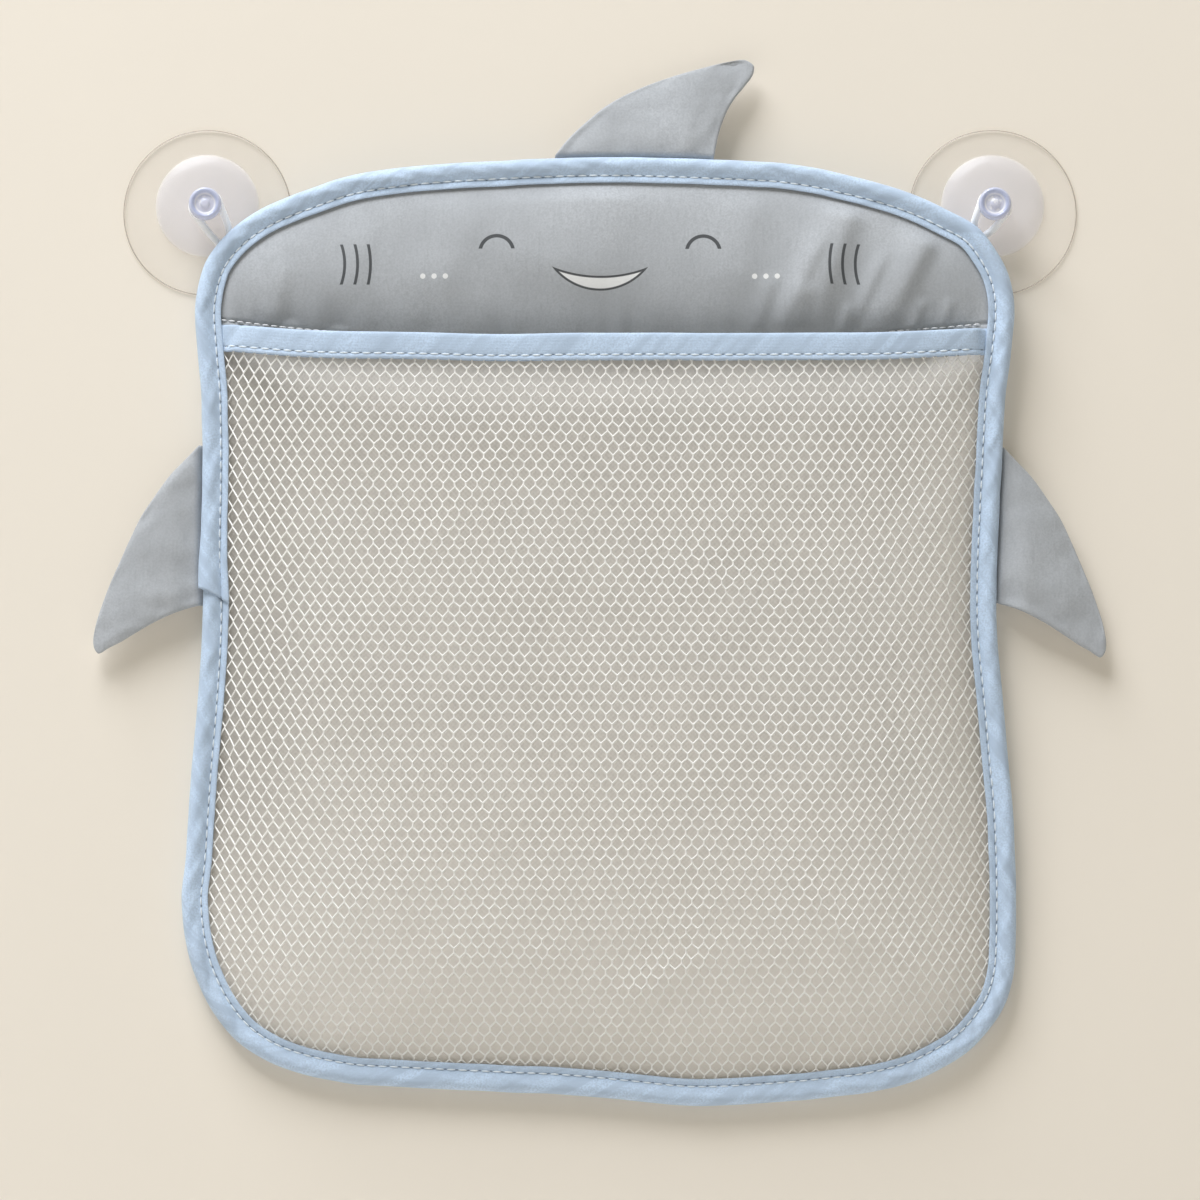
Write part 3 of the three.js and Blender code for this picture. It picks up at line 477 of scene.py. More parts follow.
def thread_finish(name, colour):
    finish = Finish(name, Roughness=0.6, Sheen_Weight=0.2)
    ply = finish.clouds(finish.object_place(), 3000, 1)
    base = finish.mix(shade(colour, 0.85), shade(colour, 1.1), ply)
    finish.wear(Base_Color=base, Normal=finish.bump(ply * 0.0001, 1.0, 0.6))
    return finish.material


def elastic_finish():
    """White round elastic: a fine braid that runs round the cord both ways."""
    finish = Finish("white elastic", Roughness=0.6, Sheen_Weight=0.3)
    along, around, _ = finish.split(finish.cloth_place())
    turns = 5200
    left = (along * turns + around * 4 * math.pi).maths("SINE")
    right = (along * turns - around * 4 * math.pi).maths("SINE")
    braid = left * right
    base = finish.mix((1.0, 1.0, 1.0), (0.93, 0.94, 0.98), braid.between(0.1, -0.9))
    finish.wear(Base_Color=base, Normal=finish.bump(braid * 0.00004, 1.0, 0.6))
    return finish.material


def vinyl_finish(centre):
    """Clear soft vinyl: a nearly unseen lip with painted shade along its edge, a hazy dome with a painted highlight
    ring round its shoulder, and a lavender knob with a painted dark ring and painted highlights.
    """
    side = "left" if centre < 0 else "right"
    finish = Finish(f"clear vinyl {side}", IOR=1.46, Coat_Weight=0.6, Coat_Roughness=0.16)
    x, y, z = finish.split(finish.object_place())
    out, raised, lip = (distance(x - centre, up) for up in (z, z - DOME_RISE, z + LIP_SAG))
    haze = finish.clouds(finish.object_place(), 90, 2)
    dome = raised.between(0.0197, 0.0190)
    ring = dome * raised.between(0.0184, 0.0190)
    knob = (-y).between(0.0060, 0.0125)
    edge = lip.between(0.0311, 0.0313)
    # The swirl in the knob's middle is a painted highlight
    swirl_highlight = finish.clouds(finish.object_place(), 420, 3).between(0.52, 0.66) * out.between(0.0036, 0.0026)
    base = finish.mix((0.56, 0.52, 0.47), (0.77, 0.77, 0.84), dome)
    # A pale ring round the dome's shoulder: a painted highlight
    base = finish.mix(base, (0.86, 0.84, 0.84), ring)
    base = finish.mix(base, (0.64, 0.67, 0.83), knob)
    # Painted shade in a dark ring on the knob, and painted highlights in a pale ring and the swirl
    dark = knob * (out.between(0.0041, 0.0045) * out.between(0.0054, 0.0050))
    pale = knob * (out.between(0.0032, 0.0035) * out.between(0.0041, 0.0038) + swirl_highlight).maths("MINIMUM", 1.0)
    base = finish.mix(base, (0.47, 0.52, 0.73), dark * 0.75)
    base = finish.mix(base, (0.97, 0.97, 1.0), pale * 0.8)
    # Painted shade in a dark line along the lip's edge
    base = finish.mix(base, (0.36, 0.30, 0.24), edge)
    cover = haze * 0.02 + dome * 0.21 + ring * 0.03 + edge * 0.48 + 0.035
    cover = cover.maths("MAXIMUM", knob * 0.80)
    dull = haze * 0.05 + dome * 0.30 + edge * 0.5 + 0.05 - knob * 0.25
    finish.wear(Base_Color=base, Alpha=cover, Roughness=dull)
    return finish.material


def steel_finish(name, rough):
    finish = Finish(name, Metallic=1.0)
    draw = finish.clouds(finish.object_place(), 900, 2)
    base = finish.mix((0.50, 0.50, 0.51), (0.64, 0.64, 0.65), draw)
    finish.wear(Base_Color=base, Roughness=draw * 0.15 + rough)
    return finish.material


def batting_finish():
    finish = Finish("batting", Roughness=1.0, Sheen_Weight=0.4)
    fluff = finish.clouds(finish.object_place(), 500, 5, 0.7)
    base = finish.mix((0.75, 0.75, 0.73), (0.92, 0.92, 0.90), fluff)
    finish.wear(Base_Color=base, Normal=finish.bump(fluff * 0.0006, 1.0, 0.9))
    return finish.material


def wall_finish(stage):
    """Smooth pale wall paint. From behind it lets everything through, so the back of the bag can be looked at."""
    finish = Finish("wall paint", Roughness=0.85, Specular_IOR_Level=0.2)
    place = finish.object_place()
    mottle = finish.clouds(place, 7, 2)
    base = finish.mix(shade(stage.wall_colour, 0.985), shade(stage.wall_colour, 1.015), mottle)
    height = finish.split(place)[2]
    base = finish.mix(base, (0.70, 0.69, 0.68), height.between(-0.60, -0.72))
    finish.wear(Base_Color=base)
    behind = finish.node("ShaderNodeNewGeometry", output="Backfacing")
    lamp = finish.node("ShaderNodeLightPath", output="Is Shadow Ray")
    clear = finish.node("ShaderNodeBsdfTransparent")
    either = behind.maths("MAXIMUM", lamp)
    paint = Field(finish, finish.shader.outputs[0])
    shown = finish.node("ShaderNodeMixShader", None, {0: either, 1: paint, 2: clear})
    finish.feed(finish.end.inputs["Surface"], shown)
    return finish.material


# Shapes

def new_mesh():
    bm = bmesh.new()
    bm.loops.layers.uv.new("cloth")
    return bm


def lay_line(bm, places):
    """A row of corners joined by edges."""
    verts = [bm.verts.new(place) for place in places]
    return verts, [bm.edges.new(pair) for pair in zip(verts, verts[1:])]


def lay_grid(bm, columns, rows, place, size=(1, 1)):
    """A grid of quads whose corners go where place(u, v) says, u and v from 0 to 1; size scales its cloth map."""
    made = bmesh.ops.create_grid(bm, x_segments=columns, y_segments=rows, size=0.5)["verts"]
    spots = {vert: (vert.co.x + 0.5, vert.co.y + 0.5) for vert in made}
    layer = bm.loops.layers.uv["cloth"]
    for face in {face for vert in made for face in vert.link_faces}:
        for loop in face.loops:
            u, v = spots[loop.vert]
            loop[layer].uv = (u * size[0], v * size[1])
    for vert, (u, v) in spots.items():
        vert.co = place(u, v)


def lay_copies(bm, count, step=Vector()):
    """Copies all that the mesh holds, so that it stands count times in a row, a step apart. Gives all the corners."""
    parts = [bm.verts[:], bm.edges[:], bm.faces[:]]
    single = [len(part) for part in parts]
    have = 1
    while have < count:
        more = min(have, count - have)
        taken = [part[:size * more] for part, size in zip(parts, single)]
        made = bmesh.ops.duplicate(bm, geom=taken[0] + taken[1] + taken[2])
        fresh = [[made[table][old] for old in old_ones]
                 for table, old_ones in zip(("vert_map", "edge_map", "face_map"), taken)]
        bmesh.ops.translate(bm, vec=step * have, verts=fresh[0])
        parts = [part + new for part, new in zip(parts, fresh)]
        have += more
    return parts[0]


def face_front(bm, way=FORWARD):
    """Turns every face over if most of the sheet looks the other way."""
    bm.normal_update()
    if sum((face.normal * face.calc_area()).dot(way) for face in bm.faces) < 0:
        bmesh.ops.reverse_faces(bm, faces=bm.faces[:])


def close_up(bm):
    """Makes a rolled grid one closed body: its seams merged, its ends filled and its faces turned outwards."""
    bmesh.ops.remove_doubles(bm, verts=bm.verts[:], dist=MERGE)
    bmesh.ops.holes_fill(bm, edges=[edge for edge in bm.edges if edge.is_boundary], sides=0)
    bmesh.ops.recalc_face_normals(bm, faces=bm.faces[:])


def lean(bm):
    """Leans back what was made in the bag's own upright frame."""
    bmesh.ops.transform(bm, matrix=LEAN, verts=bm.verts[:])


def settle(name, bm, body, finish, stands_for=(), thickness=None, offset=-1.0):
    """The finished piece: shaded smooth, given its material, and riding on its body."""
    bm.normal_update()
    mesh = bpy.data.meshes.new(name)
    bm.to_mesh(mesh)
    bm.free()
    mesh.polygons.foreach_set("use_smooth", [True] * len(mesh.polygons))
    mesh.materials.append(finish)
    piece = bpy.data.objects.new(name, mesh)
    bpy.context.scene.collection.objects.link(piece)
    if thickness:
        wall = piece.modifiers.new("cloth thickness", "SOLIDIFY")
        wall.thickness = thickness
        wall.offset = offset
    if body:
        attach(piece, body)
    if stands_for:
        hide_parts(*stands_for)
    return piece


def length_of(points):
    return sum((b - a).length for a, b in zip(points, points[1:]))


def spline(points, share):
    """A point on an open curve through the given points, evenly shared between them."""
    last = len(points) - 1
    step = min(int(share * last), last - 1)
    t = share * last - step
    a, b, c, d = (points[max(0, min(last, step + k))] for k in (-1, 0, 1, 2))
    return 0.5 * ((2 * b) + (c - a) * t + (2 * a - 5 * b + 4 * c - d) * t ** 2 + (3 * b - a - 3 * c + d) * t ** 3)


def closed_curve(corners, steps):
    """Evenly spaced points on the closed centripetal curve through the corners, and the curve's length."""
    dense = []
    count = len(corners)
    between = 40
    for i in range(count):
        p0, p1, p2, p3 = (corners[(i + k) % count] for k in (-1, 0, 1, 2))
        d0, d1, d2 = (math.sqrt((b - a).length) for a, b in ((p0, p1), (p1, p2), (p2, p3)))
        m1 = ((p1 - p0) / d0 - (p2 - p0) / (d0 + d1) + (p2 - p1) / d1) * d1
        m2 = ((p2 - p1) / d1 - (p3 - p1) / (d1 + d2) + (p3 - p2) / d2) * d1
        for k in range(between):
            t = k / between
            dense.append(
                (2 * t ** 3 - 3 * t ** 2 + 1) * p1 + (t ** 3 - 2 * t ** 2 + t) * m1
                + (-2 * t ** 3 + 3 * t ** 2) * p2 + (t ** 3 - t ** 2) * m2)
    runs = [0.0]
    for i, point in enumerate(dense):
        runs.append(runs[-1] + (dense[(i + 1) % len(dense)] - point).length)
    points, at = [], 0
    for k in range(steps):
        run = runs[-1] * k / steps
        while runs[at + 1] < run:
            at += 1
        share = (run - runs[at]) / (runs[at + 1] - runs[at])
        points.append(dense[at].lerp(dense[(at + 1) % len(dense)], share))
    return points, runs[-1]


# The rim's outer edge in even steps, the way inward at each step, and a tree that finds the step nearest to a place
RIM_STEPS = 2016
RIM, RIM_LENGTH = closed_curve(
    [Vector((across * BAG_HALF_WIDTH, BAG_RISE - down * BAG_HEIGHT)) for across, down in OUTLINE_SHARES], RIM_STEPS)
INWARD = []
for step in range(RIM_STEPS):
    run = RIM[(step + 5) % RIM_STEPS] - RIM[step - 5]
    INWARD.append(Vector((run.y, -run.x)).normalized())
RIM_TREE = kdtree.KDTree(RIM_STEPS)
for step, point in enumerate(RIM):
    RIM_TREE.insert((point.x, point.y, 0), step)
RIM_TREE.balance()


def rim_place(share):
    """The rim's outer edge at a share of the way round, clockwise from the top centre, and the way inward there."""
    at = (share % 1.0) * RIM_STEPS
    step = int(at) % RIM_STEPS
    after = (step + 1) % RIM_STEPS
    point = RIM[step].lerp(RIM[after], at - int(at))
    return point, INWARD[step].lerp(INWARD[after], at - int(at)).normalized()


def rim_inset(x, z):
    """How far a place lies inside the rim's outer edge, and the step of the rim nearest to it."""
    _, step, _ = RIM_TREE.find((x, z, 0))
    way = Vector((x, z)) - RIM[step]
    return math.copysign(way.length, way.dot(INWARD[step])), step


def kept_inside(x, z, inset):
    """The place itself, or the nearest one that lies at least so far inside the rim."""
    deep, step = rim_inset(x, z)
    if deep >= inset:
        return x, z
    place = RIM[step] + INWARD[step] * inset
    return place.x, place.y


def rim_crossings(value, way):
    """Heights where the rim's outer edge passes a place across (way 0), or places across at a height (way 1)."""
    for k in range(RIM_STEPS):
        a, b = RIM[k - 1], RIM[k]
        if (a[way] - value) * (b[way] - value) <= 0 and a[way] != b[way]:
            yield a[1 - way] + (b[1 - way] - a[1 - way]) * (value - a[way]) / (b[way] - a[way])


def rim_side(z, right):
    """The rim's outer edge at a height, on the right or on the left."""
    return [x for x in rim_crossings(z, 1) if (x > 0) == right][-1]


def rim_ceiling(x):
    """The rim's top edge above a place across."""
    return next(z for z in rim_crossings(x, 0) if z > -0.05)


def rim_floor(x):
    """The rim's bottom edge below a place across."""
    return next(z for z in rim_crossings(x, 0) if z < -0.25)


def clamp(value, low=0.0, high=1.0):
    return max(low, min(high, value))


def smooth(value):
    value = clamp(value)
    return value * value * (3 - 2 * value)


def mouth_top(x):
    """The mouth band's top edge, which sags in the middle and is a little uneven towards its ends."""
    top = BAG_RISE - MOUTH_DROP - MOUTH_SAG * (1 - (x / BAG_HALF_WIDTH) ** 4)
    return top + 0.0011 * smooth((-x - 0.105) / 0.04) - 0.0006 * smooth((x - 0.04) / 0.05)


def hem_line(x):
    """Where the head panel's hem is stitched: hidden behind the band in the middle, just above it at the ends."""
    return mouth_top(x) + 0.0007 + 0.0015 * smooth((abs(x) - 0.070) / 0.050)


def net_top(x):
    return mouth_top(x) - BAND_WIDTH - LIP_DROP


def net_depth(x, z):
    """How far the net stands off the wall, in the bag's own frame."""
    clear = rim_inset(x, z)[0] - OPEN_INSET
    if clear <= 0:
        return FRONT_LAYER
    fill = 1 - math.exp(-clear / EDGE_ROUNDING / (1 + 0.7 * smooth((-0.20 - z) / 0.10)))
    at_mouth = (BAND_STANDOFF + MOUTH_BOW * fill) * smooth(clear / 0.004)
    drop = smooth((net_top(x) - z) / BELLY_RUN)
    return FRONT_LAYER + at_mouth * (1 - drop) + BELLY_DEPTH * fill * drop


def band_depth(x):
    return net_depth(x, mouth_top(x) - BAND_WIDTH / 2)


def fold(x, z, start, end, width, height, steep=None):
    """The rise of one soft fold: a ridge along a line that dies away towards its ends. One side may be steeper."""
    start, end = Vector(start), Vector(end)
    way = end - start
    off = Vector((x, z)) - start
    run = off.dot(way) / way.length_squared
    if not 0 < run < 1:
        return 0.0
    aside = (way.x * off.y - way.y * off.x) / way.length
    wide = steep if steep and aside > 0 else width
    return height * smooth(run / 0.3) * smooth((1 - run) / 0.3) * math.exp(-(aside / wide) ** 2)


def swell(x, z, scale, seed=0.0):
    """Soft unevenness, about -1 to 1."""
    return noise.noise(Vector((x / scale, z / scale, seed)))


def stitch(here, there, out):
    """One stitch's place: where it is, the way it runs, towards the second point, and the way out of the cloth."""
    return here, (there - here).normalized(), out


def stitch_row(name, places, cloth, finish, share=0.76):
    """A row of sewn stitches as one piece: at each place in the bag's own frame a plump grain of thread, half sunk."""
    length, thread = cloth.stitch_pitch * share, cloth.thread
    bm = new_mesh()
    bmesh.ops.create_uvsphere(bm, u_segments=6, v_segments=5, radius=1)
    grain = [vert.co.copy() for vert in bm.verts]
    for index, vert in enumerate(lay_copies(bm, len(places))):
        point, along, out = places[index // len(grain)]
        spot = grain[index % len(grain)]
        side = along.cross(out).normalized()
        vert.co = point + (side * spot.x + out * spot.y) * thread / 2 + along * spot.z * length / 2
    lean(bm)
    return settle(name, bm, "bag", finish)


def to_bag(x, depth, z):
    """A place in the bag's own upright frame, its depth counted forward from the wall."""
    return Vector((x, -depth, z))


# The front half of the folded tape in section: how far in from the rim's edge, and how far forward of its middle
TAPE_SECTION = [
    (0.00985, 0.00186), (0.00940, 0.00206), (0.00860, 0.00194), (0.00775, 0.00156), (0.00715, 0.00132),
    (0.00655, 0.00160), (0.00550, 0.00238), (0.00430, 0.00296), (0.00300, 0.00314), (0.00185, 0.00286),
    (0.00092, 0.00222), (0.00022, 0.00115), (0.0, 0.0),
]
TAPE_PROFILE = [Vector(p) for p in TAPE_SECTION] + [Vector((p[0], -p[1])) for p in reversed(TAPE_SECTION[:-1])]

# The stitching runs in the section's valley: its inset, its rise, and its share of the way round the section
TAPE_STITCH_INSET = 0.00715
TAPE_STITCH_RISE = 0.00152
TAPE_STITCH_SHARE = 4 / (len(TAPE_PROFILE) - 1) * 0.93
THREAD_BLUE = (0.82, 0.89, 0.98)
THREAD_WHITE = (0.86, 0.87, 0.88)

# How far the tape's ends lap, and the shares of the way round where it is pinched in a little
LAP_LENGTH = 0.011
TAPE_KINKS = (0.379, 0.671)


def lap_share():
    """The share of the way round where the tape's two ends lap, on the left side."""
    steps = range(RIM_STEPS // 2, RIM_STEPS)
    nearest = min(steps, key=lambda k: abs(RIM[k].y - (BAG_RISE - LAP_DROP)))
    return nearest / RIM_STEPS


def tape_place(share, inset, forward):
    point, inward = rim_place(share)
    place = point + inward * inset
    return to_bag(place.x, RIM_DEPTH + forward, place.y)


def pucker(run, inset, side):
    """Slanting gathers in the tape between its edge and its stitching, as tape cut on the bias has."""
    room = smooth((inset - 0.0009) / 0.0028) * smooth((0.0069 - inset) / 0.0016) * (1 if side > 0 else 0.35)
    slant = run - side * inset * 1.8
    fine = noise.noise(Vector((slant / 0.0034, inset / 0.02, 3.1 * side)))
    broad = noise.noise(Vector((slant / 0.0085, inset / 0.03, 7.7 * side)))
    where = 0.75 + 0.5 * noise.noise(Vector((run / 0.05, 0.3, 1.9 * side)))
    return room * where * (fine * 0.00045 + broad * 0.00125)


class ORGANIZER_OT_rim(bpy.types.Operator):
    """Make the rim's folded binding tape, with its lapped ends and its stitching"""

    bl_idname = "organizer.rim"
    bl_label = "Rim binding"

    def execute(self, context):
        cloth = context.scene.organizer_cloth
        start = lap_share()
        lap = LAP_LENGTH / RIM_LENGTH
        width = length_of(TAPE_PROFILE)
        count = round(RIM_LENGTH / cloth.stitch_pitch)

        def place(u, v):
            across = spline(TAPE_PROFILE, v)
            cut = (across.x - 0.0045) * -0.62 if u < 0.5 else 0
            share = start + u * (1 + lap) + cut / RIM_LENGTH * smooth(1 - u * 60)
            run = u * (1 + lap) * RIM_LENGTH
            over = smooth(1 - run / 0.030) * (0.0013 - 0.0007 * smooth(across.x / 0.006))
            under = smooth((run - RIM_LENGTH + 0.006) / 0.01) * -0.0005
            side = 1 if across.y > 0 else -1
            before, after = spline(TAPE_PROFILE, max(0, v - 0.01)), spline(TAPE_PROFILE, min(1, v + 0.01))
            out = Vector((after.y - before.y, before.x - after.x)).normalized()
            rise = pucker(share * RIM_LENGTH, across.x, side) + (over if side > 0 else over * 0.4) + under
            across = across + out * rise
            kink = sum(math.exp(-((share - spot) * RIM_LENGTH / 0.0022) ** 2) for spot in TAPE_KINKS)
            wave = 0.0002 * math.sin(run / 0.031) + 0.0002 * swell(run, 0, 0.012, 5)
            return tape_place(share, across.x + wave + 0.0004 * kink, across.y)

        bm = new_mesh()
        lay_grid(bm, 1150, 34, place, (RIM_LENGTH * (1 + lap), width))
        self.turn_outwards(bm)
        lean(bm)
        tape = tape_finish("blue binding", cloth, width * TAPE_STITCH_SHARE, RIM_LENGTH * (1 + lap) / count)
        binding = settle("rim_tape", bm, "bag", tape, ("rim_binding",), 0.0004)
        RIM_LENGTH * 1.02

        thread = thread_finish("blue thread", THREAD_BLUE)
        for side, name in ((1, "rim_stitches"), (-1, "rim_stitches_rear")):
            places = []
            for k in range(count):
                if k / count * (1 + lap) > 1:
                    break
                share = start + (k + 0.5) / count * (1 + lap)
                here, there = (tape_place(at, TAPE_STITCH_INSET, side * TAPE_STITCH_RISE)
                               for at in (share, share + 0.0005))
                places.append(stitch(here, there, FORWARD * side))
            stitch_row(name, places, cloth, thread)
        return {"FINISHED"}

    def turn_outwards(self, bm):
        """Turns the tape's faces over if they look towards the wire that it is folded round."""
        bm.normal_update()
        looks = 0.0
        for face in bm.faces:
            middle = face.calc_center_median()
            _, step = rim_inset(middle.x, middle.z)
            wire = RIM[step] + INWARD[step] * ROLL_RADIUS
            looks += face.normal.dot(middle - to_bag(wire.x, RIM_DEPTH, wire.y))
        if looks < 0:
            bmesh.ops.reverse_faces(bm, faces=bm.faces[:])


# Folds of the head panel and creases of the net: where each starts and ends, its width, its height and, where one
# side is steeper, the width there
HEAD_FOLDS = [
    ((0.0990, 0.016), (0.0755, -0.0540), 0.0120, 0.0027, 0.0058),
    ((0.1290, 0.000), (0.1005, -0.0560), 0.0085, 0.0027, 0.0042),
    ((0.1215, -0.034), (0.1155, -0.0500), 0.0030, 0.0009, 0.0016),
    ((0.0860, -0.006), (0.0640, -0.0530), 0.0050, 0.0010, 0.0024),
    ((0.1090, -0.014), (0.0900, -0.0530), 0.0036, 0.0009, 0.0020),
    ((0.0660, -0.024), (0.0560, -0.0530), 0.0040, 0.0007, 0.0022),
    ((0.1320, -0.034), (0.1260, -0.0500), 0.0028, 0.0007, 0.0014),
    ((0.0790, -0.028), (0.0690, -0.0520), 0.0050, 0.0012, 0.0030),
    ((0.0935, -0.036), (0.0885, -0.0510), 0.0020, 0.0007, 0.0014),
    ((0.0050, 0.020), (-0.0100, -0.0400), 0.0350, 0.0018, 0.0160),
    ((0.0600, 0.010), (0.0480, -0.0400), 0.0100, 0.0006, 0.0060),
    ((-0.0450, 0.004), (-0.0640, -0.0400), 0.0140, 0.0008, 0.0070),
    ((-0.0850, -0.004), (-0.0980, -0.0420), 0.0090, 0.0007, 0.0050),
    ((-0.1150, -0.018), (-0.1230, -0.0470), 0.0060, 0.0007, 0.0040),
]
NET_CREASES = [
    ((-0.122, -0.130), (-0.114, -0.185), 0.0045, 0.0016),
    ((-0.05, -0.225), (-0.03, -0.245), 0.004, 0.0012),
    ((0.072, -0.248), (0.098, -0.285), 0.0045, 0.0015),
    ((0.03, -0.13), (0.055, -0.15), 0.004, 0.0010),
    ((0.125, -0.10), (0.135, -0.20), 0.004, 0.0010),
    ((-0.015, -0.07), (-0.09, -0.16), 0.0055, 0.0008),
    ((-0.135, -0.19), (-0.128, -0.25), 0.0035, 0.0010),
    ((0.0, -0.30), (0.05, -0.275), 0.0045, 0.0009),
]

# Dimples that the hem's stitches pull in: where across, how wide and how deep
HEM_DIMPLES = [
    (-0.1275, 0.0022, 1.2), (-0.1150, 0.0030, 1.6), (-0.0975, 0.0042, 2.4), (-0.0620, 0.0060, 1.5),
    (0.0500, 0.0050, 1.2), (0.0790, 0.0040, 2.0), (0.0960, 0.0030, 2.2), (0.1100, 0.0025, 1.2),
]

# How far the hem's stitches reach to each side, and how far the head panel goes down behind the mouth's band
HEM_REACH = 0.142
HEM_TUCK = 0.004


class ORGANIZER_OT_panels(bpy.types.Operator):
    """Make the woven back panel and the grey head panel with its puckered hem"""

    bl_idname = "organizer.panels"
    bl_label = "Back and head panels"

    def execute(self, context):
        cloth = context.scene.organizer_cloth
        self.make_back(cloth)
        self.make_head(cloth)
        return {"FINISHED"}

    def make_back(self, cloth):
        bm = new_mesh()
        low, high = BAG_RISE - BAG_HEIGHT, BAG_RISE

        def place(u, v):
            return Vector(((u - 0.5) * 2 * BAG_HALF_WIDTH * 1.01, 0, low + (high - low) * v))

        lay_grid(bm, 130, 150, place, (0.31, BAG_HEIGHT))
        outside = [f for f in bm.faces if all(rim_inset(v.co.x, v.co.z)[0] < PANEL_INSET for v in f.verts)]
        bmesh.ops.delete(bm, geom=outside, context="FACES")
        for vert in bm.verts:
            x, z = kept_inside(vert.co.x, vert.co.z, PANEL_INSET)
            loose = smooth((rim_inset(x, z)[0] - OPEN_INSET) / 0.03)
            rise = loose * (0.0008 * swell(x, z, 0.05, 2) + 0.0004 * swell(x, z, 0.018, 4))
            rise -= loose * (0.0010 + 0.0022 * smooth((z + 0.32) / 0.3))
            vert.co = to_bag(x, BACK_LAYER + rise, z)
        face_front(bm)
        lean(bm)
        piece = settle("back_cloth", bm, "bag", back_finish(cloth), ("back_panel",), 0.0004, 0.0)

    def make_head(self, cloth):
        bm = new_mesh()
        ceilings = {}

        def place(u, v):
            x = (u - 0.5) * PANEL_WIDTH
            if u not in ceilings:
                ceilings[u] = rim_ceiling(clamp(x, -0.147, 0.147)) - PANEL_INSET
            low = mouth_top(x) - HEM_TUCK
            z = low + (ceilings[u] - low) * v
            x, z = kept_inside(x, z, PANEL_INSET)
            clear = max(0.0, rim_inset(x, z)[0] - OPEN_INSET)
            above = z - hem_line(x)
            turned = 1 - (1 - clamp(above / 0.034)) ** 2.5
            crown = 0.0056 * (1 - math.exp(-clear / 0.014)) * turned
            rise = sum(fold(x, z, *shape) for shape in HEAD_FOLDS) * smooth(clear / 0.008)
            near = math.exp(-max(0.0, above) / 0.008)
            rise -= sum(deep * 0.0008 * math.exp(-((x - spot) / wide) ** 2) for spot, wide, deep in HEM_DIMPLES) * near
            rise += near * (0.0006 * swell(x, 0, 0.005, 9) + 0.0011 * swell(x, 0, 0.011, 19))
            rise += 0.0004 * swell(x, z, 0.03, 1) * smooth(clear / 0.01)
            edge = smooth((0.0011 - abs(above)) / 0.0008) * -0.0006
            return to_bag(x, FRONT_LAYER + max(0.0, crown + rise) + edge, z)

        lay_grid(bm, 240, 72, place, (PANEL_WIDTH, 0.067))
        face_front(bm)
        lean(bm)
        piece = settle("head_cloth", bm, "bag", head_finish(cloth), ("head_panel",), 0.00035)

        places = []
        count = round(2 * HEM_REACH / (cloth.stitch_pitch * 0.75))
        for k in range(count):
            x = -HEM_REACH + 2 * HEM_REACH * (k + 0.5) / count
            here, there = (to_bag(at, FRONT_LAYER + 0.0002, hem_line(at)) for at in (x, x + 0.001))
            places.append(stitch(here, there, FORWARD))
        stitch_row("hem_stitches", places, cloth, thread_finish("white thread", THREAD_WHITE), 0.62)


# The net: the height of a row of holes as a share of its pitch, the inset of its edge in the rim, and the steps of
# the tables that say where the rim is and how long the cloth is on its way in from the opening's edge
ROW_SHARE = 0.835
NET_INSET = PANEL_INSET + 0.0004
SIDE_STEP = 0.002
FLOOR_STEP = 0.004
SPREAD_STEP = 0.0005


